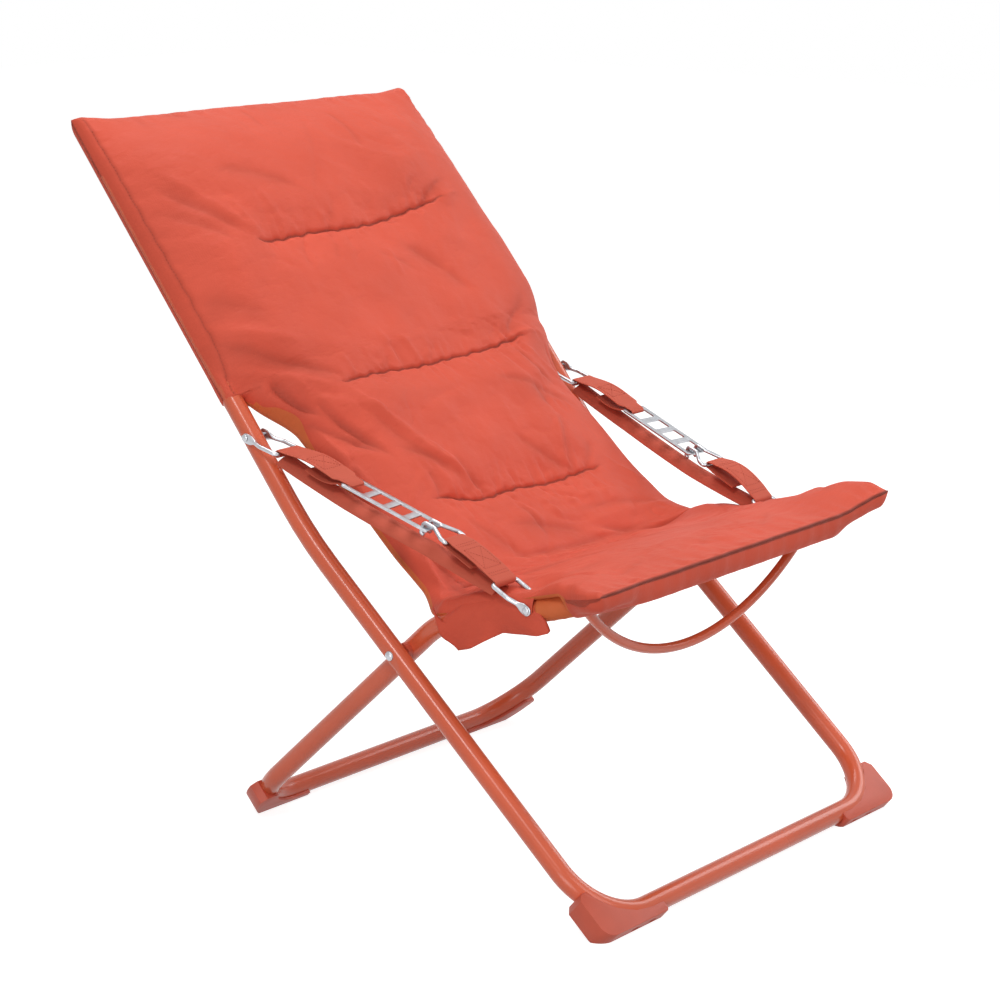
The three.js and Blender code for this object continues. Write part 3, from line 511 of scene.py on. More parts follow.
CORAL = (0.66, 0.090, 0.049)
PAINT = HardFinish("coral_paint", (0.70, 0.122, 0.052), roughness=(0.19, 0.32), shades=(0.93, 1.05),
                   patches=(9.0, 3.0), grain=(240.0, 2.0), grain_height=(0.012, 0.0002),
                   extras={"Coat Weight": 0.12, "Coat Roughness": 0.12, "Specular IOR Level": 0.35})
MOULDED = HardFinish("coral_moulding", (0.55, 0.086, 0.044), roughness=(0.5, 0.5), shades=(0.94, 1.06),
                     patches=(30.0, 3.0), grain=(1400.0, 2.0), grain_height=(0.25, 0.0003))
ZINC = HardFinish("bright_zinc", (0.50, 0.51, 0.54), roughness=(0.2, 0.42), shades=(0.86, 1.08),
                  patches=(120.0, 4.0), grain=(700.0, 3.0), grain_height=(0.12, 0.0003),
                  extras={"Metallic": 1.0})
CLOTH = ClothFinish("coral_cloth", CORAL)
LINING = ClothFinish("orange_lining", (0.66, 0.145, 0.045), crease=0.35, sheen=0.04)
WEBBING = ClothFinish("coral_webbing", (0.56, 0.100, 0.058), thread=0.0012, crease=0.12, roughness=0.7)
# Dark webbing on the straps' lower faces and on the curled lower run's inner faces: painted shade under and
# between the straps
WEBBING_PAINTED_SHADE = ClothFinish("webbing_painted_shade", (0.13, 0.034, 0.018), thread=0.0012, crease=0.12, roughness=0.75,
                           sheen=0.02)
THREAD = ClothFinish("sewing_thread", (0.42, 0.060, 0.036), crease=0.1)


@dataclass
class TubeFrame:
    """One closed loop of bent steel tube, pressed flat where its pivot goes through."""

    node: str
    top: tuple
    knee: tuple
    floor: tuple
    width: float
    radii: tuple
    tube_radius: float = 12.5
    pressed_half: float = 11.0
    press_start: float = 10.0
    press_end: float = 22.0
    facets: int = 40
    step: float = 22.0
    pivot_parts: int = 5

    def line(self) -> np.ndarray:
        """Centre line of the loop in millimetres."""
        half = self.width / 2
        corners = [(0, *self.top), (half, *self.top), (half, *self.knee), (half, *self.floor),
                   (-half, *self.floor), (-half, *self.knee), (-half, *self.top), (0, *self.top)]
        head, middle, foot = self.radii
        points = bent_line(corners, [0, head, middle, foot, foot, middle, head, 0])
        return resample(points, self.step)[:-1]

    def build(self, material: Material) -> Object:
        """Builds the tube, replaces the CAD node and rides on its body."""
        line = self.line()
        near = np.abs(np.hypot(line[:, 1] - PIVOT[0], line[:, 2] - PIVOT[1])) < self.step * 2
        dense = []
        for index, point in enumerate(line):
            dense.append(point)
            after = line[(index + 1) % len(line)]
            if near[index]:
                dense += [point + (after - point) * k / self.pivot_parts for k in range(1, self.pivot_parts)]
        piece = sweep(f"{self.node}_tube", np.array(dense), self.tube_radius, self.facets, closed=True)
        half = self.width / 2 * MM
        for vert in piece.data.vertices:
            distance = math.hypot(vert.co.y - SHIFT_Y - PIVOT[0] * MM, vert.co.z - PIVOT[1] * MM) / MM
            share = 1.0 - float(smooth(distance, self.press_start, self.press_end))
            if share > 0:
                centre = math.copysign(half, vert.co.x)
                limit = (self.tube_radius + (self.pressed_half - self.tube_radius) * share) * MM
                vert.co.x = centre + max(-limit, min(limit, vert.co.x - centre))
        dress(piece, material)
        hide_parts(self.node)
        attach(piece, self.node)
        return piece


@dataclass
class SeatBow:
    """Thin bow hung under the front of the seat between the side tubes."""

    half_span: float = 224.0
    drop: float = 99.0
    top: tuple = (-133.5, 362.5)
    lean: float = math.radians(8)
    radius: float = 6.0
    weld_run: float = 6.0
    steps: int = 60
    facets: int = 28

    def build(self, material: Material) -> Object:
        """Builds the bow and rides it on the inner frame."""
        bend = (self.half_span ** 2 + self.drop ** 2) / (2 * self.drop)
        reach = math.asin(self.half_span / bend) + self.weld_run / bend
        points = []
        for angle in np.linspace(-reach, reach, self.steps):
            hang = self.drop - bend + bend * math.cos(angle)
            points.append((bend * math.sin(angle), self.top[0] + hang * math.sin(self.lean),
                           self.top[1] - hang * math.cos(self.lean)))
        piece = sweep("seat_bow_tube", np.array(points), self.radius, self.facets)
        dress(piece, material)
        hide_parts("seat_bow")
        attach(piece, "inner_frame")
        return piece


@dataclass
class RoundedCopy:
    """A moulded or stamped CAD node taken over with small rounded edges."""

    node: str
    body: str
    edge: float
    slot: str
    merge: float = 0.00002
    flat_angle: float = math.radians(3)
    edge_angle: float = math.radians(40)
    sharp_angle: float = math.radians(35)

    def build(self, material: Material) -> Object:
        """Copies the node's mesh, merges it and rounds its sharp edges."""
        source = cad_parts[self.node]
        mesh = source.data.copy()
        piece = link_object(f"{self.node}_finished", mesh)
        work = bmesh.new()
        work.from_mesh(mesh)
        bmesh.ops.remove_doubles(work, verts=work.verts, dist=self.merge)
        bmesh.ops.dissolve_limit(work, angle_limit=self.flat_angle, verts=work.verts, edges=work.edges)
        work.to_mesh(mesh)
        work.free()
        bevel = piece.modifiers.new("edges", "BEVEL")
        bevel.width = self.edge * MM
        bevel.segments = 2
        bevel.limit_method = "ANGLE"
        bevel.angle_limit = self.edge_angle
        bevel.harden_normals = False
        flatten(piece)
        shade_smooth(piece)
        piece.data.set_sharp_from_angle(angle=self.sharp_angle)
        dress(piece, material)
        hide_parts(self.node)
        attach(piece, self.body)
        return piece


@dataclass
class WireBail:
    """Wire bail with two flattened eyes, riveted through the side tube."""

    node: str
    side: Side
    pivot: tuple
    loop: tuple
    wire: float = 2.7
    eye_offset: float = 16.2
    half_width: float = 20.5
    neck: float = 14.0
    flare: float = 12.0
    eye_half: float = 6.2
    eye_thick: float = 1.1
    neck_bend: float = 10.0
    loop_bend: float = 6.0
    turn_step: float = math.radians(9)
    step: float = 1.6
    facets: int = 16

    def build(self, material: Material) -> Object:
        """Builds the bail and rides it on its own body."""
        mirror = np.array([self.side.value, 1, 1])
        pivot = Vector(self.pivot)
        aim = Vector(self.loop) - pivot
        length = aim.length
        aim.normalize()

        def at(across: float, out: float) -> tuple:
            """Point of the bail's plane."""
            return tuple(pivot + aim * out + Vector((across, 0, 0)))

        eye = self.eye_offset
        half = self.half_width
        wide = self.neck + self.flare
        corners = [at(eye, -self.eye_half), at(eye, self.neck), at(half, wide), at(half, length),
                   at(-half, length), at(-half, wide), at(-eye, self.neck), at(-eye, -self.eye_half)]
        neck, turn = self.neck_bend, self.loop_bend
        radii = [0, neck, neck, turn, turn, neck, neck, 0]
        line = resample(bent_line(corners, radii, self.turn_step), self.step)
        along = (line - np.array(self.pivot)) @ np.array(aim)
        flat_share = 1.0 - smooth(along, self.eye_half * 0.8, self.neck + 2)
        round_end = np.sqrt(np.clip(self.eye_half ** 2 - np.minimum(along, 0) ** 2, 0.05, None))
        width = self.wire + (round_end - self.wire) * flat_share
        thick = self.wire + (self.eye_thick - self.wire) * flat_share
        piece = sweep(f"{self.node}_wire", line * mirror, thick, self.facets, second=width,
                      first_axis=Vector((1, 0, 0)))
        face_outwards(piece)
        dress(piece, material)
        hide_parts(self.node)
        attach(piece, self.node)
        return piece


@dataclass
class WireHook:
    """Bent wire: two curled tips through the ladder's last slot, splaying to a loop for the front strap."""

    side: Side
    wire: float = 2.5
    tip_half: float = 7.5
    half_width: float = 17.0
    flat: float = 15.0
    shoulder: float = 9.0
    drop: float = 13.0
    bend: float = 3.6
    tip_bend: float = 2.2
    curl_run: float = 4.5
    curl_drop: float = 1.5
    bar_half: float = 4.75
    plate_half: float = 1.0
    clearance: float = 0.75
    turn_step: float = math.radians(10)
    step: float = 3.0
    facets: int = 16

    def build(self, material: Material) -> Object:
        """Builds the hook and rides it on its own body."""
        mirror = np.array([self.side.value, 1, 1])
        start, step = Vector(LADDER_START), Vector(LADDER_STEP)
        along = step.normalized()
        across = Vector((along.y, -along.x, 0)).normalized() * -1
        upward = across.cross(along).normalized()
        if upward.z < 0:
            upward.negate()
        end = start + step * LADDER_SLOTS
        behind = self.bar_half + self.wire + self.clearance
        over = self.plate_half + self.wire + self.clearance
        elbow = end - along * behind + upward * over
        knee = elbow + along * self.flat
        loop = Vector(HOOK_LOOP)
        aim = (loop - knee).normalized()
        tip = elbow - upward * self.drop
        curl = tip + along * self.curl_run - upward * self.curl_drop
        half = [curl + across * self.tip_half, tip + across * self.tip_half, elbow + across * self.tip_half,
                knee + across * self.tip_half, loop - aim * self.shoulder + across * self.half_width,
                loop + across * self.half_width]
        other = []
        for point in reversed(half):
            offset = (point - tip).dot(across)
            other.append(point - across * (2 * offset))
        corners = [tuple(p) for p in half + other]
        radii = [0, self.tip_bend] + [self.bend] * (len(corners) - 4) + [self.tip_bend, 0]
        line = resample(bent_line(corners, radii, self.turn_step), self.step)
        piece = sweep(f"hook_{self.side.suffix}_wire", line * mirror, self.wire, self.facets)
        face_outwards(piece)
        dress(piece, material)
        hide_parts(f"hook_{self.side.suffix}")
        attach(piece, f"hook_{self.side.suffix}")
        return piece


@dataclass
class ArmStrap:
    """One arm's webbing: rear run to the ladder, long lower run, and front run to the hook."""

    side: Side
    width: float = 38.0
    bail_width: float = 36.0
    ladder_width: float = 25.0
    hook_width: float = 32.0
    gutter_width: float = 33.0
    gutter_curl: float = 9.0
    loop_reach: tuple = (3, 12)
    bar_reach: tuple = (7, 7)
    thick: float = 2.2
    edge_share: float = 0.45
    gap: float = 0.5
    bail_wire: float = 2.5
    hook_wire: float = 2.25
    bar_back: float = 4.75
    bar_half: float = 1.0
    bar_run: float = 9.0
    nose_run: float = 2.4
    nose_drop: float = 2.0
    rear_arch: float = 5.0
    front_arches: tuple = (3.0, 9.0)
    sag: float = 6.0
    lower_gap: float = 0.3
    lap: float = 46.0
    lap_start: float = 6.0
    lap_steps: int = 8
    rear_lap_sag: float = 3.5
    front_lap_rise: float = 1.4
    front_lap_run: float = 26.0
    columns: int = 12
    arc_steps: int = 14
    rear_steps: int = 18
    front_steps: int = 14
    lower_steps: int = 44
    sharp_angle: float = math.radians(50)
    row_share: float = 0.44
    box_share: float = 0.38
    stitch_lift: float = 0.15

    @property
    def layer_offset(self) -> float:
        """How far the band's middle lies off the wire that it turns round."""
        return self.thick / 2 + self.gap

    def centre_x(self, depth: np.ndarray) -> np.ndarray:
        """Middle of the arm across the chair at a given depth."""
        last_slot = tuple(np.array(LADDER_START) + LADDER_SLOTS * np.array(LADDER_STEP))
        stations = [FRONT_PIVOT, FRONT_LOOP, HOOK_LOOP, last_slot, LADDER_START, REAR_LOOP, REAR_PIVOT]
        return np.interp(depth, [s[1] for s in stations], [s[0] for s in stations])

    def arc(self, centre: tuple, radius: float, start: float, end: float) -> list:
        """Points of a turn round a wire in side view."""
        return [(centre[1] + radius * math.cos(a), centre[2] + radius * math.sin(a))
                for a in np.linspace(start, end, self.arc_steps)]

    def anchor(self, place: tuple, forward: float, up: float) -> tuple:
        """A place of this side's arm in metres, moved by millimetres along the chair and upwards."""
        return tuple(row_points(np.array([self.side.value * place[0], place[1] + forward, place[2] + up])))

    def ribbon(self, name: str, path: list, widths: np.ndarray, curl: float = 0.0) -> Object:
        """Builds a flat band along a side-view path.

        Args:
            name: object name.
            path: y, z points of its middle line.
            widths: one width per point.
            curl: how far the band's edges stand up above its middle.

        Returns:
            The band, with its lower faces, or the inner ones of a curled band, in the second material slot:
            its dark webbing is painted shade.
        """
        line = np.array(path)
        tangent = unit_tangents(line)
        normal = np.stack([-tangent[:, 1], tangent[:, 0]], 1)
        rows, cols = len(line), self.columns + 1
        shares = np.linspace(-0.5, 0.5, cols)
        at_edge = np.abs(shares) > 0.49
        verts = np.zeros((2, rows, cols, 3))
        for layer, sign in enumerate((1, -1)):
            lift = sign * self.thick / 2 * np.where(at_edge, self.edge_share, 1.0) + curl * (2 * shares) ** 2
            for col, share in enumerate(shares):
                verts[layer, :, col, 0] = self.centre_x(line[:, 0]) + share * widths
                verts[layer, :, col, 1:] = line + normal * lift[col]
        verts[..., 0] *= self.side.value
        faces, shade_slots = self.ribbon_faces(rows, cols, bool(curl))
        piece = make_mesh(name, row_points(verts.reshape(-1, 3)), faces)
        flat = np.zeros((2, rows, cols, 2))
        flat[..., 0] = shares[None, None, :] * widths[None, :, None] * MM
        flat[..., 1] = (lengths_along(line) * MM)[None, :, None]
        set_uv(piece, flat.reshape(-1, 2))
        # Slot 1 puts painted shade on the lower or inner faces
        for polygon, back in zip(piece.data.polygons, shade_slots):
            polygon.material_index = back
        face_outwards(piece)
        piece.data.set_sharp_from_angle(angle=self.sharp_angle)
        return piece

    @staticmethod
    def ribbon_faces(rows: int, cols: int, curled: bool) -> tuple:
        """Faces of a closed band of two layers.

        Args:
            rows: points along the band.
            cols: points across it.
            curled: True where the upper layer is the band's inner face, which gets the painted shade.

        Returns:
            The faces, and for each the material slot: 1 on the back, 0 elsewhere.
        """
        index = np.arange(2 * rows * cols).reshape(2, rows, cols).tolist()
        faces, shade_slots = [], []
        for layer, sheet in enumerate(index):
            for here, ahead in zip(sheet, sheet[1:]):
                for col in range(cols - 1):
                    quad = (here[col], here[col + 1], ahead[col + 1], ahead[col])
                    faces.append(quad if layer else quad[::-1])
                    shade_slots.append(1 - layer if curled else layer)
        upper, lower = index
        for row in range(rows - 1):
            faces.append((upper[row][0], upper[row + 1][0], lower[row + 1][0], lower[row][0]))
            faces.append((upper[row][-1], lower[row][-1], lower[row + 1][-1], upper[row + 1][-1]))
            shade_slots += [0, 0]
        for col in range(cols - 1):
            faces.append((upper[0][col], lower[0][col], lower[0][col + 1], upper[0][col + 1]))
            faces.append((upper[-1][col], upper[-1][col + 1], lower[-1][col + 1], lower[-1][col]))
            shade_slots += [0, 0]
        return faces, shade_slots

    def finish(self, piece: Object, materials: dict) -> None:
        """Gives the band its webbing, and the dark webbing of painted shade for its lower or inner faces."""
        piece.data.materials.clear()
        piece.data.materials.append(materials["webbing"])
        piece.data.materials.append(materials["webbing_painted_shade"])

    def build(self, materials: dict) -> list:
        """Builds the three runs.

        Args:
            materials: materials by name.

        Returns:
            The three bands and the stitches of the upper two.
        """
        return [*self.rear_run(materials), *self.front_run(materials), self.lower_run(materials)]

    def rear_run(self, materials: dict) -> list:
        """Runs from under the rear bail, over it, to the ladder's first bar, round it and back underneath.

        Args:
            materials: materials by name.

        Returns:
            The band and its stitches.
        """
        suffix = self.side.suffix
        rear, ladder = REAR_LOOP, LADDER_START
        quarter = math.pi / 2
        angle = math.atan2(rear[2] - ladder[2], rear[1] - ladder[1])
        path = self.arc(rear, self.bail_wire + self.layer_offset, angle - quarter, angle + quarter)
        over = self.round_bar()
        start, goal = np.array(path[-1]), np.array(over[0])
        run = [tuple(start + (goal - start) * t + UP * self.rear_arch * math.sin(math.pi * t) ** 1.5)
               for t in np.linspace(0, 1, self.rear_steps)[1:-1]]
        outward, turned = np.array([math.cos(angle), math.sin(angle)]), np.array(over[-1])
        lap = [tuple(turned + outward * t - UP * self.rear_lap_sag * math.sin(math.pi * min(1, t / self.lap)))
               for t in np.linspace(self.lap_start, self.lap, self.lap_steps)]
        line = path + run + over + lap
        widths = self.widths(line, [(rear, self.bail_width, *self.loop_reach),
                                    (ladder, self.ladder_width, *self.bar_reach)])
        piece = self.ribbon(f"arm_strap_rear_{suffix}", line, widths)
        self.finish(piece, materials)
        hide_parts(f"arm_strap_{suffix}")
        self.length(line)
        sewn = self.reach(line, len(path) + len(run))
        sewing = self.stitched(f"arm_strap_rear_{suffix}_stitches", line, widths,
                               self.cross_box(sewn - 46, sewn - 18), materials["thread"])
        for part in (piece, sewing):
            self.anchor(rear, -8, -3)
            self.anchor(ladder, 14, 4)
            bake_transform(part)
        return [piece, sewing]

    def round_bar(self) -> list:
        """Side-view points of the band's turn round the ladder's first bar, from above it to below it."""
        along = np.array(LADDER_STEP)[1:] / np.linalg.norm(np.array(LADDER_STEP)[1:])
        above = np.array([along[1], -along[0]])
        above = above if above[1] > 0 else -above
        bar = np.array(LADDER_START[1:])
        back, lift = self.bar_back + self.layer_offset, self.bar_half + self.layer_offset
        nose = back - self.nose_run
        turn = [(-self.bar_run, lift), (nose, lift), (back, lift - self.nose_drop),
                (back, self.nose_drop - lift), (nose, -lift), (-self.bar_run, -lift)]
        return [tuple(bar + along * forward + above * up) for forward, up in turn]

    def front_run(self, materials: dict) -> list:
        """Runs from under the front bail, over it, to the hook, round it and back, where it is sewn.

        Args:
            materials: materials by name.

        Returns:
            The band and its stitches.
        """
        suffix = self.side.suffix
        front, hook = FRONT_LOOP, HOOK_LOOP
        quarter = math.pi / 2
        angle = math.atan2(hook[2] - front[2], hook[1] - front[1])
        path = self.arc(front, self.bail_wire + self.layer_offset, angle + 3 * quarter, angle + quarter)
        end_arc = self.arc(hook, self.hook_wire + self.layer_offset, angle + quarter, angle - quarter)
        start, goal = np.array(path[-1]), np.array(end_arc[0])
        arch = self.front_arches[0 if self.side is Side.RIGHT else 1]
        run = [tuple(start + (goal - start) * t + UP * arch * math.sin(math.pi * t))
               for t in np.linspace(0, 1, self.front_steps)[1:-1]]
        back, turned = -np.array([math.cos(angle), math.sin(angle)]), np.array(end_arc[-1])
        rise = np.array([-back[1], back[0]])
        rise = rise if rise[1] > 0 else -rise
        lap = [tuple(turned + back * t + rise * min(1, t / self.front_lap_run) * self.front_lap_rise)
               for t in np.linspace(self.lap_start, self.lap, self.lap_steps)]
        line = path + run + end_arc + lap
        widths = self.widths(line, [(front, self.bail_width, *self.loop_reach),
                                    (hook, self.hook_width, *self.loop_reach)])
        piece = self.ribbon(f"arm_strap_front_{suffix}", line, widths)
        self.finish(piece, materials)
        self.length(line)
        begun, sewn = self.reach(line, len(path)), self.reach(line, len(path) + len(run))
        rows = [self.cross_row(place) for place in (begun + 8, begun + 12, sewn - 9, sewn - 13)]
        rows += self.cross_box(begun + 20, sewn - 20)
        sewing = self.stitched(f"arm_strap_front_{suffix}_stitches", line, widths, rows, materials["thread"])
        for part in (piece, sewing):
            self.anchor(front, 6, 3)
            self.anchor(hook, -12, -5)
            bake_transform(part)
        return [piece, sewing]

    def lower_run(self, materials: dict) -> Object:
        """Runs as one long band under both bails, and sags between them.

        Args:
            materials: materials by name.

        Returns:
            The band.
        """
        suffix = self.side.suffix
        rear, front = REAR_LOOP, FRONT_LOOP
        chord = (front[1] - rear[1], front[2] - rear[2])
        drop = self.bail_wire + self.layer_offset + self.lower_gap
        line = []
        for t in np.linspace(0.0, 1.0, self.lower_steps):
            sag = 4 * self.sag * t * (1 - t)
            line.append((rear[1] + chord[0] * t, rear[2] + chord[1] * t - sag - drop))
        widths = np.full(len(line), self.gutter_width)
        piece = self.ribbon(f"arm_strap_lower_{suffix}", line, widths, self.gutter_curl)
        self.finish(piece, materials)
        self.length(line)
        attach(piece, "outer_frame")
        self.anchor(rear, 0, 0)
        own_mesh(piece)
        return piece

    def stitched(self, name: str, line: list, widths: np.ndarray, paths: list,
                 material: Material) -> Object:
        """Sews stitch rows on a band's upper face.

        Args:
            name: object name.
            line: the band's side-view path.
            widths: its width at each point.
            paths: rows, each a list of pairs: length along the path and share of the width.
            material: thread material.

        Returns:
            The stitches.
        """
        points = np.array(line)
        length, tangent = lengths_along(points), unit_tangents(points)
        steps = np.linspace(0, 1, 40)
        lift = self.thick / 2 + self.stitch_lift
        rows = StitchRow(pitch=3.4, length=2.5, radius=0.34)
        for path in paths:
            knots = np.linspace(0, 1, len(path))
            along, across = (np.interp(steps, knots, [p[k] for p in path]) for k in (0, 1))
            y, z = (np.interp(along, length, points[:, k]) for k in (0, 1))
            t_y, t_z = (np.interp(along, length, tangent[:, k]) for k in (0, 1))
            x = (self.centre_x(y) + across * np.interp(along, length, widths)) * self.side.value
            sign = np.sign(t_y)
            rows.add(np.stack([x, y - sign * t_z * lift, z + sign * t_y * lift], -1))
        piece = rows.build(name, material)
        return piece

    def widths(self, line: list, narrow: list) -> np.ndarray:
        """Width of the band at each point, narrower near the places given."""
        points = np.array(line)
        result = np.full(len(points), self.width)
        for place, width, reach, run in narrow:
            distance = np.hypot(points[:, 0] - place[1], points[:, 1] - place[2])
            result = np.minimum(result, width + (self.width - width) * smooth(distance, reach, reach + run))
        return result

    @staticmethod
    def reach(line: list, count: int) -> float:
        """Length in millimetres of the first points of a side-view path."""
        return float(np.linalg.norm(np.diff(np.array(line[:count]), axis=0), axis=1).sum())

    def cross_row(self, place: float) -> list:
        """Stitch row right across the band at a length."""
        return [(place, -self.row_share), (place, self.row_share)]

    def cross_box(self, start: float, end: float) -> list:
        """Stitch rows of a box with a cross in it, between two lengths."""
        side = self.box_share
        return [[(start, -side), (start, side)], [(end, -side), (end, side)],
                [(start, -side), (end, -side)], [(start, side), (end, side)],
                [(start, -side), (end, side)], [(start, side), (end, -side)]]

    def length(self, line: list) -> float:
        """Length of a side-view path in metres."""
        return self.reach(line, len(line)) * MM


@dataclass
class PadLine:
    """Side view of the lining, from the head rail to the front rail."""

    points: tuple = ((608, 853.8), (480.8, 697.3), (378.5, 571.5), (353.3, 540.4), (290, 485), (206, 424),
                     (128, 358), (48, 311), (-25, 332), (-110, 358.5), (-196, 383))
    overrun: float = 60.0
    run_steps: int = 40
    reach: float = 9.0
    table: np.ndarray = field(init=False)
    along: np.ndarray = field(init=False)

    def __post_init__(self) -> None:
        """Samples the line densely."""
        pts = np.array(self.points, float)
        ends = np.vstack([2 * pts[0] - pts[1], pts, 2 * pts[-1] - pts[-2]])
        samples = []
        t = np.linspace(0, 1, self.run_steps, endpoint=False)[:, None]
        for i in range(1, len(ends) - 2):
            p0, p1, p2, p3 = ends[i - 1:i + 3]
            spans = ((p0, p1), (p1, p2), (p2, p3))
            d0, d1, d2 = (max(math.sqrt(np.linalg.norm(b - a)), 1e-4) for a, b in spans)
            m1 = ((p1 - p0) / d0 - (p2 - p0) / (d0 + d1) + (p2 - p1) / d1) * d1
            m2 = ((p2 - p1) / d1 - (p3 - p1) / (d1 + d2) + (p3 - p2) / d2) * d1
            samples.append(p1 + m1 * t + (-3 * p1 + 3 * p2 - 2 * m1 - m2) * t ** 2
                           + (2 * p1 - 2 * p2 + m1 + m2) * t ** 3)
        line = np.vstack([*samples, pts[-1:]])
        beyond = line[-1] + (line[-1] - line[-2]) / np.linalg.norm(line[-1] - line[-2]) * self.overrun
        before = line[0] + (line[0] - line[1]) / np.linalg.norm(line[0] - line[1]) * self.overrun
        self.table = np.vstack([before[None], line, beyond[None]])
        self.along = lengths_along(self.table) - self.overrun

    def at(self, s: np.ndarray) -> tuple:
        """Points and upward directions at lengths s.

        Args:
            s: array of lengths along the line in millimetres.

        Returns:
            y, z, and the upward direction's y and z, each of the shape of s.
        """
        y, z = (np.interp(s, self.along, self.table[:, k]) for k in (0, 1))
        dy, dz = (np.interp(s + self.reach, self.along, self.table[:, k])
                  - np.interp(s - self.reach, self.along, self.table[:, k]) for k in (0, 1))
        size = np.hypot(dy, dz)
        return y, z, dz / size, -dy / size


@dataclass(frozen=True)
class Fold:
    """One crease or roll of the cover, between two places: length along the pad and place across it."""

    start: tuple
    end: tuple
    width: float
    rise: float
    bow: float = 0.0
    FADE_IN: ClassVar[tuple] = (-0.15, 0.2)
    FADE_OUT: ClassVar[tuple] = (0.7, 1.15)
    END_SHARE: ClassVar[float] = 0.45
    STEEP_SHARE: ClassVar[float] = 0.5
    POWER: ClassVar[float] = 1.25

    def height(self, s: np.ndarray, x: np.ndarray) -> np.ndarray:
        """Height that the fold adds, steeper on one side than on the other."""
        ds, dx = self.end[0] - self.start[0], self.end[1] - self.start[1]
        length = math.hypot(ds, dx)
        along = ((s - self.start[0]) * ds + (x - self.start[1]) * dx) / length ** 2
        off = ((s - self.start[0]) * dx - (x - self.start[1]) * ds) / length
        off = off + self.bow * 4 * along * (1 - along)
        inside = smooth(along, *self.FADE_IN) * (1 - smooth(along, *self.FADE_OUT))
        narrowed = self.END_SHARE + (1 - self.END_SHARE) * inside
        reach = self.width * narrowed * np.where(off > 0, 1.0, self.STEEP_SHARE)
        return self.rise * inside * fade(np.abs(off), reach, self.POWER)


